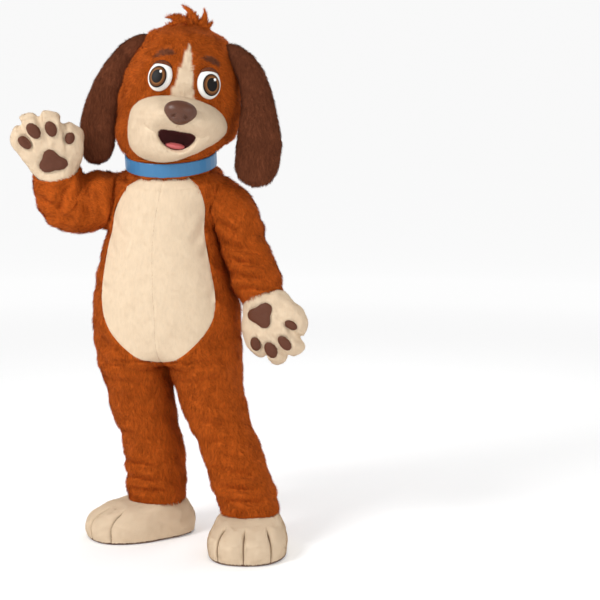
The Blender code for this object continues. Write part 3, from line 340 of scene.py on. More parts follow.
def welded(node):
    """A bmesh of a CAD node, its split corners joined again."""
    bm = bmesh.new()
    bm.from_mesh(node.data)
    bmesh.ops.remove_doubles(bm, verts=bm.verts, dist=2e-5)
    bm.normal_update()
    return bm


def mesh_from(bm, name):
    mesh = bpy.data.meshes.new(name)
    bm.to_mesh(mesh)
    bm.free()
    return mesh


LOOKS_OUT = [
    Vector((cos(2.4 * i), sin(2.4 * i), 0.35 + 1.3 * i / 12)).normalized() for i in range(12)
]
RIM_ANGLE = radians(58)
SEEN_SHARE = 0.10


def seen_share(face, solids):
    """How open the view from a face is, 0 to 1."""
    middle = face.calc_center_median()
    turn = face.normal.to_track_quat("Z", "Y")
    start = middle + face.normal * 0.0008
    return sum(solids.ray_cast(start, turn @ ray, 3.0)[0] is None for ray in LOOKS_OUT) / len(LOOKS_OUT)


def islands(bm):
    """Groups of faces that no sharp edge parts."""
    left = set(bm.faces)
    while left:
        first = left.pop()
        group, front = [first], [first]
        while front:
            face = front.pop()
            for edge in face.edges:
                if len(edge.link_faces) == 2 and edge.calc_face_angle(0) < RIM_ANGLE:
                    for other in edge.link_faces:
                        if other in left:
                            left.remove(other)
                            group.append(other)
                            front.append(other)
        yield group


def outer_skin(node, solids):
    """The outside of a wall, without its rims and its inside."""
    bm = welded(node)
    hidden = []
    for group in islands(bm):
        area = sum(face.calc_area() for face in group)
        seen = sum(face.calc_area() * seen_share(face, solids) for face in group) / max(area, 1e-9)
        if seen < SEEN_SHARE:
            hidden.extend(group)
    bmesh.ops.delete(bm, geom=hidden, context="FACES")
    kept_apart = dict.fromkeys(("cmp_seam", "cmp_sharp", "cmp_uvs", "cmp_vcols", "cmp_materials"), False)
    bmesh.ops.join_triangles(
        bm, faces=bm.faces, angle_face_threshold=3.1, angle_shape_threshold=3.1, **kept_apart
    )
    return mesh_from(bm, node.name + "_shell")


def bell(away, width):
    """1 at no distance, falling off softly over this width."""
    return np.exp(-((away / width) ** 2))


def beside(points, start, run):
    """For each point, how far along a line it lies, 0 to 1, and its distance from the line."""
    at = points - start
    share = np.clip(at @ run / (run @ run), 0, 1)
    return share, np.linalg.norm(at - share[:, None] * run, axis=1)


def smooth_noise(points, size, seed, stretch=1.0):
    """A smooth number for each point, mostly -1 to 1, that changes over about this size."""
    dice = np.random.default_rng(seed)
    pace = dice.normal(size=(24, 3))
    pace *= (2 * np.pi / (size * dice.uniform(0.7, 1.8, 24)) / np.linalg.norm(pace, axis=1))[:, None]
    pace[:, 2] /= stretch
    return np.sin(points @ pace.T + dice.uniform(0, 2 * np.pi, 24)).sum(axis=1) / sqrt(24)


def as_object(name, mesh):
    made = bpy.data.objects.new(name, mesh)
    bpy.context.scene.collection.objects.link(made)
    return made


def tube_faces(rows, sides, first=0):
    """The faces between rings of points, each ring closed on itself."""
    faces = []
    for low in range(first, first + rows * sides, sides):
        for c in range(sides):
            d = (c + 1) % sides
            faces.append((low + c, low + d, low + sides + d, low + sides + c))
    return faces


def closed_piece(name, verts, faces, look, layout=None):
    """A smooth piece from its points and faces, and a layout value for each point if its look reads one."""
    mesh = bpy.data.meshes.new(name)
    mesh.from_pydata([tuple(v) for v in verts], [], faces)
    if layout:
        corner = read_values(mesh.loops, "vertex_index", int)
        mesh.uv_layers.new(name=LAYOUT).data.foreach_set("uv", np.array(layout)[corner].ravel())
    bm = bmesh.new()
    bm.from_mesh(mesh)
    bmesh.ops.remove_doubles(bm, verts=bm.verts, dist=1e-6)
    bmesh.ops.recalc_face_normals(bm, faces=bm.faces)
    bm.to_mesh(mesh)
    bm.free()
    mesh.shade_smooth()
    mesh.materials.append(look)
    made = as_object(name, mesh)
    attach(made, "root")
    return made


def tree_of(places):
    """A tree that finds how far a point is from the nearest of these places."""
    tree = KDTree(len(places))
    for i, place in enumerate(places):
        tree.insert(place, i)
    tree.balance()
    return tree


def read_values(items, name, kind=float):
    """One number of every item."""
    values = np.empty(len(items), kind)
    items.foreach_get(name, values)
    return values


def read_rows(items, name, kind=float):
    """Three numbers of every item, a row for each."""
    values = np.empty(len(items) * 3, kind)
    items.foreach_get(name, values)
    return values.reshape(-1, 3)


def coordinates(mesh):
    return read_rows(mesh.vertices, "co")


def directions(mesh):
    return read_rows(mesh.vertices, "normal")


def unit(rows):
    return rows / np.linalg.norm(rows, axis=1)[:, None]


def set_coordinates(mesh, points):
    mesh.vertices.foreach_set("co", np.asarray(points).ravel())
    mesh.update()


def evaluated(made):
    graph = bpy.context.evaluated_depsgraph_get()
    return bpy.data.meshes.new_from_object(made.evaluated_get(graph))


def rounded_through(made, levels):
    """Subdivides a mesh smoothly and still passes through all its points."""
    aim = coordinates(made.data)
    bend = made.modifiers.new("round", "SUBSURF")
    bend.levels = 1
    bend.boundary_smooth = "PRESERVE_CORNERS"
    cage = aim.copy()
    for _ in range(4):
        now = evaluated(made)
        cage += aim - coordinates(now)[: len(aim)]
        bpy.data.meshes.remove(now)
        set_coordinates(made.data, cage)
    bend.levels = levels
    fine = evaluated(made)
    made.modifiers.clear()
    old = made.data
    made.data = fine
    bpy.data.meshes.remove(old)


# ---------------- creases
# A crease on the front (side -1) or back (side 1), from one end to the other in width from the middle and
# height above the floor, with its half width and its depth; a negative depth is a ridge. The two tables are
# in millimetres.
Crease = namedtuple("Crease", "side x1 h1 x2 h2 width depth")
FRONT = [
    # chest, armpits and waist
    (-165, 1115, -105, 1030, 16, 4),
    (-180, 1060, -140, 985, 14, 3),
    (170, 1120, 120, 1035, 16, 4),
    (185, 1065, 150, 990, 14, 3),
    (-235, 895, -160, 870, 18, 4.5),
    (235, 880, 170, 850, 18, 4),
    (-70, 790, 10, 765, 24, 2.5),
    (100, 845, 30, 815, 24, 2),
    # hips and crotch
    (-215, 640, -105, 605, 18, 6),
    (-190, 580, -60, 560, 15, 4.5),
    (225, 655, 105, 610, 18, 6),
    (200, 590, 70, 565, 15, 4.5),
    (-235, 735, -170, 690, 20, 4.5),
    (245, 740, 185, 700, 20, 4.5),
    # knees and shins
    (-150, 430, -60, 405, 16, 4.5),
    (-165, 370, -85, 385, 14, 3.5),
    (120, 440, 230, 420, 16, 5),
    (165, 365, 250, 385, 14, 3.5),
    (-150, 268, -20, 258, 13, 6),
    (-155, 212, -30, 205, 12, 6),
    (-120, 175, 10, 170, 10, 5),
    (205, 285, 315, 262, 13, 6),
    (220, 222, 345, 215, 12, 6),
    (255, 178, 375, 176, 10, 5),
    # raised arm
    (-420, 1185, -330, 1150, 14, 6.5),
    (-405, 1130, -300, 1120, 13, 5.5),
    (-310, 1235, -345, 1150, 14, 7),
    (-425, 1245, -340, 1220, 12, 5),
    (-255, 1250, -245, 1120, 16, 5),
    (-215, 1230, -200, 1110, 12, 4),
    # hanging arm
    (195, 1110, 262, 1075, 13, 5),
    (222, 1035, 330, 1012, 15, 6),
    (235, 985, 345, 968, 13, 5.5),
    (250, 935, 360, 925, 13, 6),
    (275, 890, 385, 885, 11, 5),
    (290, 1070, 320, 1020, 12, 3.5),
]
BACK = [
    (-165, 1110, -110, 1030, 18, 5),
    (165, 1110, 110, 1030, 18, 5),
    (-190, 960, -90, 935, 22, 4.5),
    (190, 950, 80, 930, 22, 4.5),
    (-200, 870, -100, 850, 20, 4.5),
    (205, 880, 100, 850, 20, 4.5),
    (-205, 630, -50, 590, 20, 7),
    (210, 635, 50, 590, 20, 7),
    (-160, 420, -55, 400, 16, 5.5),
    (-150, 360, -40, 350, 14, 4.5),
    (120, 430, 240, 405, 16, 5.5),
    (155, 370, 260, 350, 14, 4.5),
    (-150, 265, -10, 255, 13, 6),
    (-140, 205, 0, 200, 12, 6),
    (200, 280, 320, 262, 13, 6),
    (225, 220, 350, 210, 12, 6),
    (-400, 1160, -300, 1190, 14, 6),
    (-290, 1255, -270, 1110, 15, 5.5),
    (225, 1040, 330, 1005, 14, 6),
    (240, 975, 350, 955, 13, 6),
    (265, 915, 370, 905, 12, 5.5),
]
CREASES = [
    Crease(side, *(value / 1000 for value in row)) for side, rows in ((-1, FRONT), (1, BACK)) for row in rows
]


# How deep the creases are drawn, and how high the ridge beside each one is.
FOLD = 1.5
RIDGE = 0.45


def crease_depth(points, normals):
    """How far the cloth sinks in its creases, less how far it rises beside them."""
    depth = np.zeros(len(points))
    for crease in CREASES:
        start = np.array([crease.x1, crease.h1 + FLOOR])
        run = np.array([crease.x2, crease.h2 + FLOOR]) - start
        share, away = beside(points[:, [0, 2]], start, run)
        facing = np.clip(normals[:, 1] * crease.side * 2.0 + 0.2, 0, 1)
        fade = np.sin(np.pi * np.clip(share * 0.9 + 0.05, 0, 1)) ** 0.5
        dip = bell(away, crease.width) - RIDGE * np.exp(-((away / crease.width - 1.9) ** 2))
        depth += FOLD * crease.depth * facing * fade * dip
    return depth


# Slow waves that keep a stuffed cloth from looking turned: wavelength in each direction, and height.
Wave = namedtuple("Wave", "x y z height")
WAVES = [
    Wave(0.130, 0.170, 0.110, 0.0016),
    Wave(-0.090, 0.150, 0.190, 0.0013),
    Wave(0.210, -0.110, -0.075, 0.0012),
    Wave(0.060, 0.080, -0.140, 0.0008),
]


def unevenness(points):
    rise = np.zeros(len(points))
    for number, wave in enumerate(WAVES):
        phase = sum(points[:, i] / length for i, length in enumerate((wave.x, wave.y, wave.z)))
        rise += wave.height * np.sin(2 * np.pi * phase + 1.7 * number)
    return rise


# ---------------- pieces
def near_rim(mesh, points):
    """How near each point is to the cloth's edge, where a seam draws the pile in, 1 at the edge."""
    edge_use = np.bincount(read_values(mesh.loops, "edge_index", int), minlength=len(mesh.edges))
    rim = {v for edge in mesh.edges if edge_use[edge.index] == 1 for v in edge.vertices}
    if not rim:
        return np.zeros(len(points))
    tree = tree_of([points[v] for v in rim])
    away = np.array([tree.find(p)[2] for p in points])
    return bell(away, SEAM_WIDTH)


def finger_pads(word):
    return [f"finger_pad_{word}_{number}" for number in range(1, 5)]


def near_pads(frame, word, points):
    """How near each point of a glove is to one of its pads, 1 at the pad."""
    names = ["palm_pad_" + word] + finger_pads(word)
    pads = BVHTree.FromPolygons(*gathered(frame["nodes"][name] for name in names))
    away = np.array([pads.find_nearest(point)[3] for point in points])
    return bell(away, PAD_BED)


# A seam's half width and depth, and the share of the slow waves that a smooth panel keeps.
SEAM_WIDTH = 0.006
SEAM_DEPTH = 0.0006
CALM = 0.35
# How far round a pad a glove is drawn in, and how deep. The grooves between the fingers follow.
PAD_BED = 0.006
PAD_SINK = 0.0035
FINGER_DEPTH = 0.0075
FINGER_WIDTH = 0.0090
# Where a sleeve is sewn on: from what height up the crease is eased, how far from the seam, over what width
# the cloth is averaged, how much a round form loses by that, and the most that the cloth rises.
SHOULDER_LOW = 1.115
SHOULDER_REACH = 0.050
SHOULDER_WIDTH = 0.017
SHOULDER_GAIN = 0.0020
SHOULDER_MOST = 0.013
SHOULDER_FADE = 0.04
SHOULDER_BATCH = 400


def middle_of(node):
    return coordinates(node.data).mean(axis=0)


def palm_plane(pads, palm):
    """The direction straight out of a palm, from its middle and the middles of its finger pads."""
    flat = np.cross(pads[0] - palm, pads[3] - palm)
    return flat / np.linalg.norm(flat)


def in_plane(way, flat):
    """A direction laid flat in a plane, one long."""
    way = way - flat * (way @ flat)
    return way / np.linalg.norm(way)


def finger_grooves(frame, word, points):
    """How deep the cloth is drawn in between the fingers of a glove, on both sides and round their tips."""
    palm = middle_of(frame["nodes"]["palm_pad_" + word])
    pads = [middle_of(frame["nodes"][name]) for name in finger_pads(word)]
    flat = palm_plane(pads, palm)
    depth = np.zeros(len(points))
    for first, second in zip(pads, pads[1:]):
        start = (first + second) / 2
        along = in_plane(start - palm, flat)
        at = points - start
        ahead = np.clip((at @ along + 0.004) / 0.026, 0, 1)
        off = at @ np.cross(flat, along)
        depth += FINGER_DEPTH * ahead**2 * (3 - 2 * ahead) * bell(off, FINGER_WIDTH)
    return depth


def make_shell(frame, name, solids, look, levels):
    """A cloth panel: the outside of its solid, rounded, with creases, seams and slow waves."""
    shell = as_object(name + "_cloth", outer_skin(frame["nodes"][name], solids))
    rounded_through(shell, levels)
    mesh = shell.data
    points, normals = coordinates(mesh), directions(mesh)
    seam = near_rim(mesh, points)
    calm = CALM if name.startswith(("belly", "muzzle")) else 1.0
    rise = crease_depth(points, normals) + calm * unevenness(points)
    sink = rise * (1 - seam) + SEAM_DEPTH * seam
    sink += line_depth(mesh, points, LINES.get(name, ()))
    if name.startswith("glove"):
        word = name.split("_")[1]
        sink += PAD_SINK * near_pads(frame, word, points) + finger_grooves(frame, word, points)
    points = points - normals * sink[:, None]
    set_coordinates(mesh, rounder_crown(points) if name.startswith("head") else points)
    return finished_cloth(shell, look, name)


def face_samples(mesh):
    """The middle, direction and area of each face."""
    faces = mesh.polygons
    return read_rows(faces, "center"), read_rows(faces, "normal"), read_values(faces, "area")


def near_seam(piece, others):
    """How near each point of a panel is to the panels that it is sewn to, 1 at the shoulder seam."""
    points = coordinates(piece.data)
    seam = tree_of([v.co for other in others for v in other.data.vertices])
    share = np.clip((points[:, 2] - FLOOR - SHOULDER_LOW) / SHOULDER_FADE, 0, 1)
    for i in np.flatnonzero(share > 0):
        share[i] *= max(0.0, 1 - (seam.find(points[i])[2] / SHOULDER_REACH) ** 2)
    return share


def ease_shoulder(body, sleeve):
    """Fills the crease where a sleeve is sewn on, so that the shoulder runs on smoothly into the arm."""
    samples = [face_samples(piece.data) for piece in body + [sleeve]]
    moves = []
    for piece in body + [sleeve]:
        points, ups = coordinates(piece.data), directions(piece.data)
        share = near_seam(piece, body if piece is sleeve else [sleeve])
        near = np.flatnonzero(share > 0)
        low, high = points[near].min(axis=0) - SHOULDER_REACH, points[near].max(axis=0) + SHOULDER_REACH
        kept = [np.all((rows[0] > low) & (rows[0] < high), axis=1) for rows in samples]
        middles, facing, areas = (
            np.concatenate([rows[i][keep] for rows, keep in zip(samples, kept)]) for i in range(3)
        )
        for some in np.array_split(near, max(1, len(near) // SHOULDER_BATCH)):
            away = middles[None] - points[some][:, None]
            weight = np.exp(-np.sum(away**2, axis=2) / (2 * SHOULDER_WIDTH**2)) * areas
            weight *= ups[some] @ facing.T > 0.1
            weight /= weight.sum(axis=1)[:, None]
            out = unit(weight @ facing)
            rise = np.sum(np.einsum("ij,ijk->ik", weight, away) * out, axis=1) + SHOULDER_GAIN
            points[some] += out * (np.clip(rise, 0, SHOULDER_MOST) * share[some])[:, None]
        moves.append((piece.data, points))
    for mesh, points in moves:
        set_coordinates(mesh, points)


def finished_cloth(shell, look, name):
    shell.data.shade_smooth()
    shell.data.materials.clear()
    shell.data.materials.append(look)
    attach(shell, "root")
    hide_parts(name)
    return shell


# Sewn-in lines, from one point to another, with half width and depth.
Line = namedtuple("Line", "start end width depth")


def line_depth(mesh, points, lines):
    """How far the cloth sinks along its lines, each laid on it from above."""
    depth = np.zeros(len(points))
    if not lines:
        return depth
    cloth = BVHTree.FromPolygons([tuple(p) for p in points], [tuple(f.vertices) for f in mesh.polygons])
    for line in lines:
        start = np.array(cloth.find_nearest(line.start)[0])
        run = np.array(cloth.find_nearest(line.end)[0]) - start
        depth += line.depth * bell(beside(points, start, run)[1], line.width)
    return depth


# ---------------- head
HEAD_TURNED = Matrix(((0.9661, -0.20535, 0.15643), (0.20791, 0.97815, 0.0), (-0.15302, 0.03252, 0.98769)))
HEAD_ORIGIN = Vector((0.02, 0.0, 1.292 + FLOOR))


def on_head(x, y, z):
    """A point given in the head's own frame: to its left, backwards and up from the neck."""
    return HEAD_ORIGIN + HEAD_TURNED @ Vector((x, y, z))


def from_neck(points, turned):
    """Points as seen in a turned frame whose origin is at the neck, like the head's."""
    return (points - np.array(HEAD_ORIGIN)) @ np.array(turned)


CROWN_RISE, CROWN_SPAN, CROWN_WIDER = 0.462, 0.038, 0.20
CROWN_DROP, CROWN_LOW, CROWN_HIGH = 0.008, 0.40, 0.09
HEAD_SEAM, HEAD_SEAM_WIDE = 0.0018, 0.005


def rounder_crown(points):
    """Half of the stuffed head a little fuller round its crown than its solid, its seam drawn shut."""
    local = from_neck(points, HEAD_TURNED)
    side = copysign(1.0, local[:, 0].mean())
    local[:, 0] -= side * HEAD_SEAM * bell(local[:, 0], HEAD_SEAM_WIDE)
    wider = 1 + CROWN_WIDER * bell(local[:, 2] - CROWN_RISE, CROWN_SPAN)
    local[:, 0] *= wider
    local[:, 1] *= wider
    local[:, 2] -= CROWN_DROP * np.clip((local[:, 2] - CROWN_LOW) / CROWN_HIGH, 0, 1) ** 2
    return local @ np.array(HEAD_TURNED).T + np.array(HEAD_ORIGIN)


LINES = {
    "muzzle": [
        Line(on_head(0.0, -0.290, 0.168), on_head(0.0, -0.262, 0.138), 0.0045, 0.0060),
        Line(on_head(0.070, -0.235, 0.122), on_head(0.088, -0.215, 0.140), 0.0050, 0.0040),
        Line(on_head(-0.070, -0.235, 0.122), on_head(-0.088, -0.215, 0.140), 0.0050, 0.0040),
    ],
}

# The coat's markings: a plain blaze up the forehead, and a short brow over each eye.
BLAZE_LOW, BLAZE_TOP = 0.215, 0.425
BLAZE_HALF = 0.034
BROW_X, BROW_RISE = 0.078, 0.381
BROW_LONG, BROW_HIGH = 0.031, 0.0105
BROW_SLOPE, BROW_BEND = -0.30, 6.0
RAGGED, RAGGED_SIZE = 0.0012, 0.010
MARK_EDGE = 0.003
HEAD_FLOW = (0.15, 0.55, -0.75)
HEAD_PILES = (("rust", "_fur"), ("cream", "_blaze_fur"), ("dark", "_brow_fur"))
# How far a tip may reach into a marking, or out of the blaze, before its blade is left out.
INTO_BLAZE, INTO_BROW, OUT_OF_BLAZE = 0.003, 0.002, 0.004


def markings(points):
    """How far inside the blaze and inside the brows each point is, in metres, below 0 outside."""
    x, y, z = from_neck(points, HEAD_TURNED).T
    ragged = RAGGED * smooth_noise(points, RAGGED_SIZE, 71)
    share = np.clip((z - BLAZE_LOW) / (BLAZE_TOP - BLAZE_LOW), 0, 1)
    half = BLAZE_HALF * (1 - share ** 1.8) * (1.0 + 0.5 * np.exp(-share * 7))
    blaze = np.where((y < 0) & (z > BLAZE_LOW - 0.03) & (z < BLAZE_TOP), half - np.abs(x) + ragged, -1.0)
    along = np.abs(x) - BROW_X
    lift = z - BROW_RISE - BROW_SLOPE * along + BROW_BEND * along**2
    oval = 1 - np.sqrt((along / BROW_LONG) ** 2 + (lift / BROW_HIGH) ** 2)
    brow = np.where(y < 0, oval * BROW_HIGH + ragged, -1.0)
    return blaze, brow


def mark_cloth(mesh):
    """Writes the markings on the head's cloth, 0 to 1, for its material."""
    for name, inside in zip(("blaze", "brow"), markings(coordinates(mesh))):
        values = mesh.attributes.new(name, "FLOAT", "POINT")
        values.data.foreach_set("value", np.clip(inside / MARK_EDGE + 0.5, 0, 1).astype(np.float32))


def make_head_fur(shell, looks, count):
    """The head's pile in three colours. A blade whose tip would lie across a marking's edge is left out."""
    root, up = scattered(shell.data, count)
    blaze, brow = markings(root)
    kind = np.where(brow > 0, 2, np.where(blaze > 0, 1, 0))
    tip_blaze, tip_brow = markings(root + unit(np.array([HEAD_FLOW])) * PILES["rust"].length)
    kind[(kind == 0) & ((tip_blaze > INTO_BLAZE) | (tip_brow > INTO_BROW))] = -1
    kind[(kind == 1) & (tip_blaze < -OUT_OF_BLAZE)] = -1
    made = []
    for number, (colour, suffix) in enumerate(HEAD_PILES):
        chosen = kind == number
        fur = blades_at(shell, root[chosen], up[chosen], colour, looks[colour + "_hair"], HEAD_FLOW, suffix)
        made.append(fur)
    return made


# Each eye's frame: its middle on the head, and its directions across, inwards and up.
Eye = namedtuple("Eye", "middle right inward up")
EYES = {
    "left": Eye(Vector((0.17773, -0.13592, 1.57076 + FLOOR)), Vector((0.80803, 0.57507, -0.12799)),
                Vector((-0.58859, 0.79742, -0.13300)), Vector((0.02558, 0.18280, 0.98282))),
    "right": Eye(Vector((0.02031, -0.16980, 1.59569 + FLOOR)), Vector((0.97215, -0.17670, -0.15396)),
                 Vector((0.13526, 0.95949, -0.24714)), Vector((0.19139, 0.21943, 0.95667))),
}
EYE_SIZE = (0.042, 0.023, 0.051)
IRIS_SIZE = (0.0305, 0.0085, 0.0370)
IRIS_OUT = 0.0195
LID_GROWN = 1.10
LID_LOW, LID_HIGH = 50.0, 100.0
LID_THICK = 0.09
LID_SAG = 9.0
LID_SIDES, LID_ROWS = 32, 8
GAZE_DOWN = 0.006
GLINT_ASIDE, GLINT_UP = 0.009, 0.012
GLINT_SIZE = (0.0046, 0.0016, 0.0052)
GLINT_OUT = IRIS_OUT + 0.0072
LAYOUT_MOST = 0.98


def globe(rows, sides):
    """The points of a ball in rings round its front, each with how wide its ring is."""
    for r in range(rows + 1):
        turn = pi * r / rows
        for c in range(sides):
            a = 2 * pi * c / sides
            yield sin(turn) * cos(a), -cos(turn), sin(turn) * sin(a), sin(turn)


def at_eye(eye, size, x, y, z, out=0.0):
    """A point of an ellipsoid of this size in an eye's frame."""
    return (eye.middle + eye.right * (size[0] * x) + eye.inward * (size[1] * y - out)
            + eye.up * (size[2] * z))


def domed(name, eye, size, out, look, sides=48, rows=24):
    """An ellipsoid in an eye's frame, with how far each point is from the middle of its front as layout."""
    verts, layout = [], []
    for x, y, z, wide in globe(rows, sides):
        verts.append(at_eye(eye, size, x, y, z, out))
        layout.append((min(wide, LAYOUT_MOST) if y < 0 else LAYOUT_MOST, 0.5))
    return closed_piece(name, verts, tube_faces(rows, sides), look, layout)


def make_lid(name, eye, look):
    """A band of cloth over the top of an eye, thick at its edge."""
    verts, faces = [], []
    for grown in (LID_GROWN, LID_GROWN - LID_THICK):
        size = [length * grown for length in EYE_SIZE]
        for r in range(LID_ROWS + 1):
            rise = radians(LID_LOW + (LID_HIGH - LID_LOW) * r / LID_ROWS)
            for c in range(LID_SIDES + 1):
                a = radians(-90 + 180.0 * c / LID_SIDES)
                b = rise - radians(LID_SAG) * (1 - cos(a)) * (1 - r / LID_ROWS)
                x, y, z = cos(b) * sin(a), -cos(b) * cos(a), sin(b)
                verts.append(at_eye(eye, size, x, y, z))
    step = LID_SIDES + 1
    layer = (LID_ROWS + 1) * step
    for r in range(LID_ROWS):
        for c in range(LID_SIDES):
            a = r * step + c
            faces.append((a, a + 1, a + step + 1, a + step))
            faces.append((layer + a, layer + a + step, layer + a + step + 1, layer + a + 1))
    for c in range(LID_SIDES):
        faces.append((c, layer + c, layer + c + 1, c + 1))
    return closed_piece(name, verts, faces, look)


def make_eyes(looks):
    for word, eye in EYES.items():
        gaze = eye._replace(middle=eye.middle - eye.up * GAZE_DOWN)
        glint = eye._replace(middle=eye.middle + eye.right * GLINT_ASIDE + eye.up * GLINT_UP)
        white = domed("eye_ball_" + word, eye, EYE_SIZE, 0.0, looks["eye_white"])
        iris = domed("eye_iris_" + word, gaze, IRIS_SIZE, IRIS_OUT, looks["iris"])
        spot = domed("eye_glint_" + word, glint, GLINT_SIZE, GLINT_OUT, looks["eye_white"], 16, 8)
        lid = make_lid("eye_lid_" + word, eye, looks["dark_fur"])
        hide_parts("eye_" + word)
        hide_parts("iris_" + word)


NOSE_AT = (0.0, -0.279, 0.196)
NOSE_SIZE = (0.053, 0.036, 0.040)
NOSTRILS = (0.40, -0.30)
NOSTRIL_WIDTH = 0.22
NOSTRIL_DEPTH = 0.30
NOSE_ROWS, NOSE_SIDES = 60, 96


def make_nose(look):
    """A rounded nose, wider at its top, with two nostrils and a soft fold between them."""
    verts = []
    for x, y, z, _ in globe(NOSE_ROWS, NOSE_SIDES):
        dent = 0.0
        for way in (-1, 1) if y <= 0 else ():
            over, along = x - way * NOSTRILS[0], z - NOSTRILS[1]
            along += way * over * 0.5
            near = (over / NOSTRIL_WIDTH) ** 2 * 1.6 + (along / NOSTRIL_WIDTH) ** 2 * 2.6
            dent += NOSTRIL_DEPTH * exp(-near)
        dent += 0.05 * exp(-((x / 0.06) ** 2)) * max(-z, 0) * max(-y, 0)
        wide = 1 + 0.16 * z - 0.10 * max(-z, 0) ** 2
        y *= 1 - dent
        local = (NOSE_SIZE[0] * x * wide, NOSE_SIZE[1] * y - 0.004 * z, NOSE_SIZE[2] * z)
        verts.append(on_head(*[at + step for at, step in zip(NOSE_AT, local)]))
    return closed_piece("nose_soft", verts, tube_faces(NOSE_ROWS, NOSE_SIDES), look)


# Locks of the tuft: root on the crown, which way each one turns, how far it leans from upright at its root
# and at its tip, all in degrees, then its length and its width.
Lock = namedtuple("Lock", "x y turn first last length width")
LOCKS = [
    Lock(-0.006, 0.000, -90.0, -22.0, 78.0, 0.098, 0.019),
    Lock(-0.020, 0.004, -95.0, 28.0, 118.0, 0.090, 0.018),
    Lock(0.016, 0.002, -88.0, -48.0, 30.0, 0.086, 0.018),
    Lock(-0.030, -0.004, -85.0, 62.0, 128.0, 0.064, 0.014),
    Lock(0.030, 0.000, 80.0, 62.0, 20.0, 0.056, 0.014),
    Lock(0.000, -0.018, -35.0, 30.0, 95.0, 0.058, 0.016),
    Lock(0.002, 0.020, -150.0, 22.0, 80.0, 0.074, 0.017),
]
LOCK_STEPS = 14
LOCK_SIDES = 12
LOCK_FLAT = 0.62
TUFT_RISE = 0.466


def make_tuft(look):
    """Curled locks of long pile that stand up from the crown."""
    verts, faces = [], []
    for lock in LOCKS:
        turn = radians(lock.turn)
        out = Vector((sin(turn), -cos(turn), 0))
        across = Vector((-out.y, out.x, 0))
        start = len(verts)
        place = Vector((lock.x, lock.y, TUFT_RISE))
        for i in range(LOCK_STEPS + 1):
            share = i / LOCK_STEPS
            lean = radians(lock.first + (lock.last - lock.first) * share)
            ahead = out * sin(lean) + Vector((0, 0, cos(lean)))
            face = out * cos(lean) - Vector((0, 0, sin(lean)))
            swell = lock.width * (1 - share**1.6) * (0.80 + 0.55 * sin(pi * min(share * 1.5, 1.0)))
            for k in range(LOCK_SIDES):
                a = 2 * pi * k / LOCK_SIDES
                beside = place + across * (swell * cos(a) * LOCK_FLAT)
                verts.append(on_head(*(beside + face * (swell * sin(a)))))
            place = place + ahead * (lock.length / LOCK_STEPS)
        faces += tube_faces(LOCK_STEPS, LOCK_SIDES, start)
        faces.append(tuple(start + k for k in reversed(range(LOCK_SIDES))))
    return closed_piece("tuft_soft", verts, faces, look)


# ---------------- shoe covers
# Each foot's turn in degrees, its middle, and its stretch in height.
Foot = namedtuple("Foot", "turn x y stretch")
FEET = {"right": Foot(-52.0, -0.04718, 0.025, 1.0140), "left": Foot(4.0, 0.31018, -0.134, 1.0063)}
SOLE = 0.0075
FOOT_LONG = 0.190
FOOT_WIDE = 0.132
FOOT_AHEAD = 0.062
FOOT_HIGH = 0.1232
FOOT_NECK = 0.0838
FOOT_NECK_TOP = 0.137
TOE_GROOVES = (-29.0, 0.0, 29.0)
TOES = (-43.0, -14.5, 14.5, 43.0)
GROOVE_WIDTH = 1.5
GROOVE_DEPTH = 0.0120
TOE_PUFF = 0.006
TOE_ROUND = 0.005
FOOT_STEP = 3.0
GROOVE_STEPS = (-3.2, -2.2, -1.5, -1.0, -0.5, 0.0, 0.5, 1.0, 1.5, 2.2, 3.2)
GROOVE_CLEAR = 4.0
FOOT_ROWS, NECK_ROWS = 34, 3
FOOT_SQUARE = 2.5
TOE_WIDTH = 12.0
TOE_ENDS, TOE_FADE = 0.44, 0.22


def ease(t):
    """A share from 0 to 1 that starts and ends softly."""
    t = min(max(t, 0.0), 1.0)
    return t * t * (3 - 2 * t)


def toe_shape(turn, level):
    """How far the cloth sinks between the toes, less how far each toe stands out, and the groove's shade."""
    fade = 1 - ease((level - TOE_ENDS) / TOE_FADE)
    dip = max(exp(-(abs((turn - at) / GROOVE_WIDTH) ** 1.3)) for at in TOE_GROOVES)
    swell = max(exp(-(((turn - at) / TOE_WIDTH) ** 2)) for at in TOES)
    return fade * (GROOVE_DEPTH * dip - TOE_ROUND * swell), (fade * dip) ** 3


def foot_point(turn, level):
    """A point of the shoe cover: level 0 on the sole, 1 at the ankle."""
    turn = (turn + 180.0) % 360.0 - 180.0
    a = radians(turn)
    wide = FOOT_WIDE * (0.965 + 0.035 * tanh(3 * cos(a)))
    reach = abs(cos(a) / FOOT_LONG) ** FOOT_SQUARE + abs(sin(a) / wide) ** FOOT_SQUARE
    reach = reach ** (-1 / FOOT_SQUARE)
    edge = Vector((reach * sin(a), -reach * cos(a) - FOOT_AHEAD, 0))
    neck = Vector((sin(a), -cos(a), 0)) * FOOT_NECK
    swing = radians(90.0 * level)
    bulge = 1 + 0.05 * sin(pi * min(2 * level, 1.0))
    place = (edge * bulge).lerp(neck, 1 - cos(swing))
    puff = TOE_PUFF * max(cos(a), 0.0) * sin(pi * min(level * 1.4, 1.0))
    depth = toe_shape(turn, level)[0] * (0.75 + 0.25 * sin(swing)) * min(1.0, 0.25 + level * 14)
    place -= (edge - neck).normalized() * (depth * cos(swing))
    place.z = SOLE + (FOOT_HIGH - 0.007) * sin(swing) ** 0.85 + puff - depth * sin(swing)
    return place


SOLE_CALM, SOLE_FADE = 0.012, 0.02


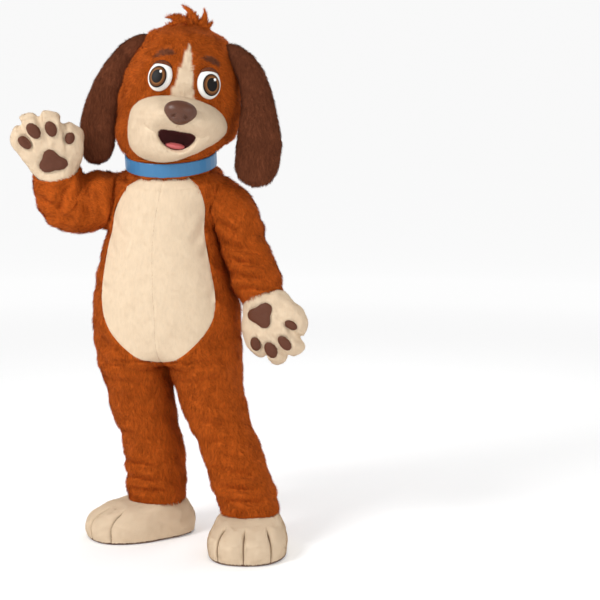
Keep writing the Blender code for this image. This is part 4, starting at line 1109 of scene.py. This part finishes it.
def make_foot(word, look):
    """A shoe cover of soft cloth, with three grooves that part its toes."""
    foot = FEET[word]
    name = "foot_" + word
    frame = Matrix.Rotation(radians(foot.turn), 4, "Z") @ Matrix.Diagonal((1, 1, foot.stretch, 1))
    frame.translation = Vector((foot.x, foot.y, FLOOR))
    turns = [FOOT_STEP * i - 180.0 for i in range(round(360 / FOOT_STEP))]
    turns = [turn for turn in turns if all(abs(turn - at) > GROOVE_CLEAR for at in TOE_GROOVES)]
    turns = sorted(turns + [at + step for at in TOE_GROOVES for step in GROOVE_STEPS])
    rows = [[foot_point(turn, r / FOOT_ROWS) for turn in turns] for r in range(FOOT_ROWS + 1)]
    low = rows[-1][0].z
    for r in range(1, NECK_ROWS + 1):
        rise = low + (FOOT_NECK_TOP - low) * r / NECK_ROWS
        rows.append([Vector((p.x, p.y, rise)) for p in rows[FOOT_ROWS]])
    mesh = bpy.data.meshes.new(name + "_cloth")
    verts = [tuple(frame @ point) for row in rows for point in row]
    mesh.from_pydata(verts, [], tube_faces(len(rows) - 1, len(turns)))
    mesh.update()
    # How deep each point lies in a toe groove, which sets the painted shade there and keeps the pile out.
    sewn = [toe_shape(turn, min(r / FOOT_ROWS, 1.0))[1] for r in range(len(rows)) for turn in turns]
    mesh.attributes.new("groove", "FLOAT", "POINT").data.foreach_set("value", np.array(sewn, np.float32))
    points, normals = coordinates(mesh), directions(mesh)
    lift = np.clip((points[:, 2] - FLOOR - SOLE_CALM) / SOLE_FADE, 0, 1)
    set_coordinates(mesh, points - normals * (unevenness(points) * 0.5 * lift)[:, None])
    return finished_cloth(as_object(name + "_cloth", mesh), look, name)


def make_round(node, look, cell, passes):
    """A stuffed or moulded piece: its solid with the corners worn smooth."""
    made = as_object(node.name + "_soft", mesh_from(welded(node), node.name + "_soft"))
    remesh = made.modifiers.new("cells", "REMESH")
    remesh.mode = "VOXEL"
    remesh.voxel_size = cell
    smooth = made.modifiers.new("smooth", "SMOOTH")
    smooth.iterations = passes
    fine = evaluated(made)
    made.modifiers.clear()
    made.data = fine
    fine.shade_smooth()
    fine.materials.clear()
    fine.materials.append(look)
    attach(made, "root")
    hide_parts(node.name)
    return made


PAD_LOBES = 0.115


def lobe_pad(frame, word, mesh):
    """Draws a palm pad out in three soft lobes, one of them towards the fingers."""
    pads = [middle_of(frame["nodes"][name]) for name in finger_pads(word)]
    points = coordinates(mesh)
    middle = points.mean(axis=0)
    flat = palm_plane(pads, middle)
    ahead = in_plane((pads[1] + pads[2]) / 2 - middle, flat)
    across = np.cross(flat, ahead)
    at = points - middle
    turn = np.arctan2(at @ across, at @ ahead)
    spread = at - np.outer(at @ flat, flat)
    set_coordinates(mesh, points + spread * (PAD_LOBES * np.cos(3 * turn))[:, None])


# ---------------- pile
# Short pile: blade length and half width, how far a blade stands up, how much its direction swirls, and how
# much its shading follows the blade rather than the cloth, and how mottled it is.
Pile = namedtuple("Pile", "length half stand swirl gleam mottle")
PILES = {
    "rust": Pile(0.016, 0.0009, 0.38, 0.45, 0.42, 1.0),
    "cream": Pile(0.009, 0.0008, 0.22, 0.16, 0.16, 0.7),
    "belly": Pile(0.008, 0.0007, 0.12, 0.10, 0.06, 0.35),
    "dark": Pile(0.016, 0.0009, 0.30, 0.25, 0.38, 1.0),
}
DOWN = (0.0, 0.0, -1.0)
# Waves in the pile, by size: whole swirls, locks, streaks of tone and clouds of tone. Then how far locks,
# single blades and their length stray, how deep a root sits, and how much the tone varies.
SWIRL_SIZE, LOCK_SIZE, STREAK_SIZE, CLOUD_SIZE = 0.055, 0.010, 0.008, 0.060
LOCK_SWIRL, LOCK_STAND = 0.6, 0.32
STRAY, TWIST, LIE = 0.16, 0.25, 0.85
SHORTEST, LONGEST = 0.65, 1.15
ROOT_SUNK, TIP_RAISED = 0.0012, 0.0010
ROOT_OFF_FLOOR, TIP_OFF_FLOOR = 0.002, 0.001
STREAK_TONE, CLOUD_TONE, BLADE_TONE = 0.14, 0.07, 0.28
GROOVE_BARE = 0.30


def scattered(mesh, count):
    """Even random points on a mesh, with the way up from each. None stands in a sewn groove."""
    mesh.calc_loop_triangles()
    corners = read_rows(mesh.loop_triangles, "vertices", int)
    points, normals = coordinates(mesh), directions(mesh)
    a, b, c = (points[corners[:, i]] for i in range(3))
    area = np.linalg.norm(np.cross(b - a, c - a), axis=1) / 2
    chosen = rng.choice(len(area), count, p=area / area.sum())
    u, v = rng.random(count), rng.random(count)
    over = u + v > 1
    u[over], v[over] = 1 - u[over], 1 - v[over]
    weights = ((1 - u - v)[:, None], u[:, None], v[:, None])
    root, up = (sum(weight * rows[corners[chosen, i]] for i, weight in enumerate(weights))
                for rows in (points, normals))
    if "groove" in mesh.attributes:
        groove = read_values(mesh.attributes["groove"].data, "value", np.float32)
        sewn = sum(weight[:, 0] * groove[corners[chosen, i]] for i, weight in enumerate(weights))
        root, up = root[sewn < GROOVE_BARE], up[sewn < GROOVE_BARE]
    return root, unit(up)


def make_fur(piece, kind, look, count, flow=DOWN):
    """Short blades of pile on a piece, combed along the flow, in locks that lean together."""
    return blades_at(piece, *scattered(piece.data, count), kind, look, flow)


# The collar's own frame and reach; no pile stands there.
NECK_TURNED = Matrix(((1.0, 0.0, 0.0), (0.0, 0.97437, -0.22495), (0.0, 0.22495, 0.97437)))
COLLAR_REACH = 0.170
COLLAR_SPAN = (-0.003, 0.055)


def clear_of_collar(points):
    """Whether each point is clear of the collar."""
    local = from_neck(points, NECK_TURNED)
    far = np.hypot(local[:, 0], local[:, 1]) > COLLAR_REACH
    return far | (local[:, 2] < COLLAR_SPAN[0]) | (local[:, 2] > COLLAR_SPAN[1])


def blade_mesh(name, corners, tone, facing):
    """A mesh of blades, three corners each, with tone and height as layout and the cloth's shading."""
    count = len(tone)
    fur = bpy.data.meshes.new(name)
    fur.vertices.add(count * 3)
    fur.vertices.foreach_set("co", corners.ravel())
    fur.loops.add(count * 3)
    fur.loops.foreach_set("vertex_index", np.arange(count * 3, dtype=np.int32))
    fur.polygons.add(count)
    fur.polygons.foreach_set("loop_start", np.arange(0, count * 3, 3, dtype=np.int32))
    fur.update(calc_edges=True)
    height = np.tile([0.02, 0.02, 0.98], count)
    layout = np.column_stack([np.repeat(np.clip(tone, 0.02, 0.98), 3), height])
    fur.uv_layers.new(name=LAYOUT).data.foreach_set("uv", layout.ravel())
    fur.polygons.foreach_set("use_smooth", np.ones(count, bool))
    fur.normals_split_custom_set(np.repeat(facing, 3, axis=0).tolist())
    return fur


def waves(points, size, seed, stretch=1.0):
    """Smooth noise in three directions."""
    return np.column_stack([smooth_noise(points, size, seed + i, stretch) for i in range(3)])


def blades_at(piece, root, up, kind, look, flow=DOWN, suffix="_fur"):
    """Blades of one kind of pile at these roots."""
    pile = PILES[kind]
    kept = clear_of_collar(root) & clear_of_collar(root + np.array(flow) * pile.length)
    root, up = root[kept], up[kept]
    count = len(root)
    swirl, lock = waves(root, SWIRL_SIZE, 40), waves(root, LOCK_SIZE, 50, stretch=2.0)
    comb = np.array(flow) + pile.swirl * swirl + LOCK_SWIRL * pile.swirl * lock
    comb = comb + rng.normal(0, STRAY, (count, 3))
    comb -= up * np.sum(comb * up, axis=1)[:, None]
    lie = unit(up * pile.stand * (1 + LOCK_STAND * lock[:, :1]) + unit(comb) * LIE)
    across = unit(np.cross(lie, up + rng.normal(0, TWIST, (count, 3))))
    length = pile.length * rng.uniform(SHORTEST, LONGEST, count)[:, None]
    low = root - up * ROOT_SUNK
    tip = low + lie * length + up * TIP_RAISED
    low[:, 2] = np.maximum(low[:, 2], FLOOR + ROOT_OFF_FLOOR)
    tip[:, 2] = np.maximum(tip[:, 2], FLOOR + TIP_OFF_FLOOR)
    corners = np.stack([low - across * pile.half, low + across * pile.half, tip], axis=1)
    streak = smooth_noise(root, STREAK_SIZE, 61, stretch=3.5)
    cloud = smooth_noise(root, CLOUD_SIZE, 62)
    tone = 0.50 + pile.mottle * (STREAK_TONE * streak + CLOUD_TONE * cloud)
    tone = tone + rng.uniform(-BLADE_TONE, BLADE_TONE, count)
    facing = unit(up * (1 - pile.gleam) + lie * pile.gleam)
    fur = blade_mesh(piece.name + suffix, corners, tone, facing)
    fur.materials.append(look)
    made = as_object(piece.name.replace("_cloth", "").replace("_soft", "") + suffix, fur)
    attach(made, "root")
    return made


# ---------------- the whole scene
# How each cloth panel is cut: its flat width, length and area, and how it is held.
Cut = namedtuple("Cut", "node slot wide long area held levels blades")
SIDES = ("left", "right")
CUTS = [
    Cut(f"{piece}_{side}", *row)
    for piece, *row in (
        ("front", "rust", 0.37, 1.20, 0.290, "hung", 3, 30000),
        ("back", "rust", 0.44, 1.22, 0.410, "hung", 3, 40000),
        ("belly", "cream", 0.22, 0.66, 0.115, "hung", 3, 20000),
        ("sleeve", "rust", 0.52, 0.44, 0.195, "hung", 3, 22000),
        ("glove", "cream", 0.46, 0.33, 0.132, "stretched", 3, 16000),
        ("foot", "cream", 0.82, 0.24, 0.157, "stretched", 0, 24000),
        ("head", "rust", 0.52, 0.62, 0.270, "stretched", 3, 28000),
    )
    for side in SIDES
] + [Cut("muzzle", "cream", 0.55, 0.24, 0.100, "stretched", 3, 14000)]
# Which way the pile lies where it doesn't hang straight down.
FLOWS = {
    "sleeve_right": (-0.85, -0.35, 0.40),
    "sleeve_left": (0.40, -0.25, -0.90),
    "glove_right": (-0.15, -0.30, 0.90),
    "glove_left": (0.35, -0.25, -0.90),
    "foot_left": (0.05, -0.80, -0.60),
    "foot_right": (-0.70, -0.45, -0.60),
    "muzzle": (0.0, 0.60, -0.70),
    "tail": (0.20, 0.75, 0.10),
    "tail_tip": (0.30, 0.60, 0.50),
    "tuft": (0.0, 0.10, 1.00),
}
STUFFED_CELL, STUFFED_PASSES = 0.0055, 22
Stuffed = namedtuple("Stuffed", "node slot blades")
STUFFED = [
    Stuffed("ear_left", "dark", 22000),
    Stuffed("ear_right", "dark", 22000),
    Stuffed("tail", "rust", 18000),
    Stuffed("tail_tip", "cream", 5000),
    Stuffed("tuft", "rust", 9000),
]
Moulded = namedtuple("Moulded", "node slot cell passes")
MOULDED = [
    Moulded("tongue", "tongue", 0.0020, 4),
    Moulded("mouth_lining", "mouth_lining", 0.0028, 3),
    Moulded("collar", "collar", 0.0030, 3),
]
for word in SIDES:
    MOULDED.append(Moulded("palm_pad_" + word, "paw_pad", 0.0020, 5))
    MOULDED.append(Moulded("sole_" + word, "sole", 0.0045, 2))
    MOULDED.extend(Moulded(name, "paw_pad", 0.0018, 5) for name in finger_pads(word))


def main():
    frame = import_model()
    make_camera()
    make_light()
    make_floor()
    looks = make_looks()
    solids = BVHTree.FromPolygons(*gathered(frame["nodes"].values()))
    shells = {}
    for cut in CUTS:
        cloth = looks.get(cut.node.split("_")[0] + "_fur", looks[cut.slot + "_fur"])
        if cut.node.startswith("foot"):
            shells[cut.node] = make_foot(cut.node.split("_")[1], cloth)
        else:
            shells[cut.node] = make_shell(frame, cut.node, solids, cloth, cut.levels)
    for side in SIDES:
        ease_shoulder([shells["front_" + side], shells["back_" + side]], shells["sleeve_" + side])
    for cut in CUTS:
        shell = shells[cut.node]
        if cut.node.startswith("head"):
            mark_cloth(shell.data)
            furs = make_head_fur(shell, looks, cut.blades)
        else:
            kind = "belly" if cut.node.startswith("belly") else cut.slot
            furs = [make_fur(shell, kind, looks[cut.slot + "_hair"], cut.blades, FLOWS.get(cut.node, DOWN))]
    for item in STUFFED:
        if item.node == "tuft":
            soft = make_tuft(looks[item.slot + "_fur"])
            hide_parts(item.node)
        else:
            node, cloth = frame["nodes"][item.node], looks[item.slot + "_fur"]
            soft = make_round(node, cloth, STUFFED_CELL, STUFFED_PASSES)
        fur = make_fur(soft, item.slot, looks[item.slot + "_hair"], item.blades, FLOWS.get(item.node, DOWN))
    for item in MOULDED:
        made = make_round(frame["nodes"][item.node], looks[item.slot], item.cell, item.passes)
        if item.node.startswith("palm"):
            lobe_pad(frame, item.node.split("_")[2], made.data)
    make_eyes(looks)
    nose = make_nose(looks["nose"])
    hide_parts("nose")


main()
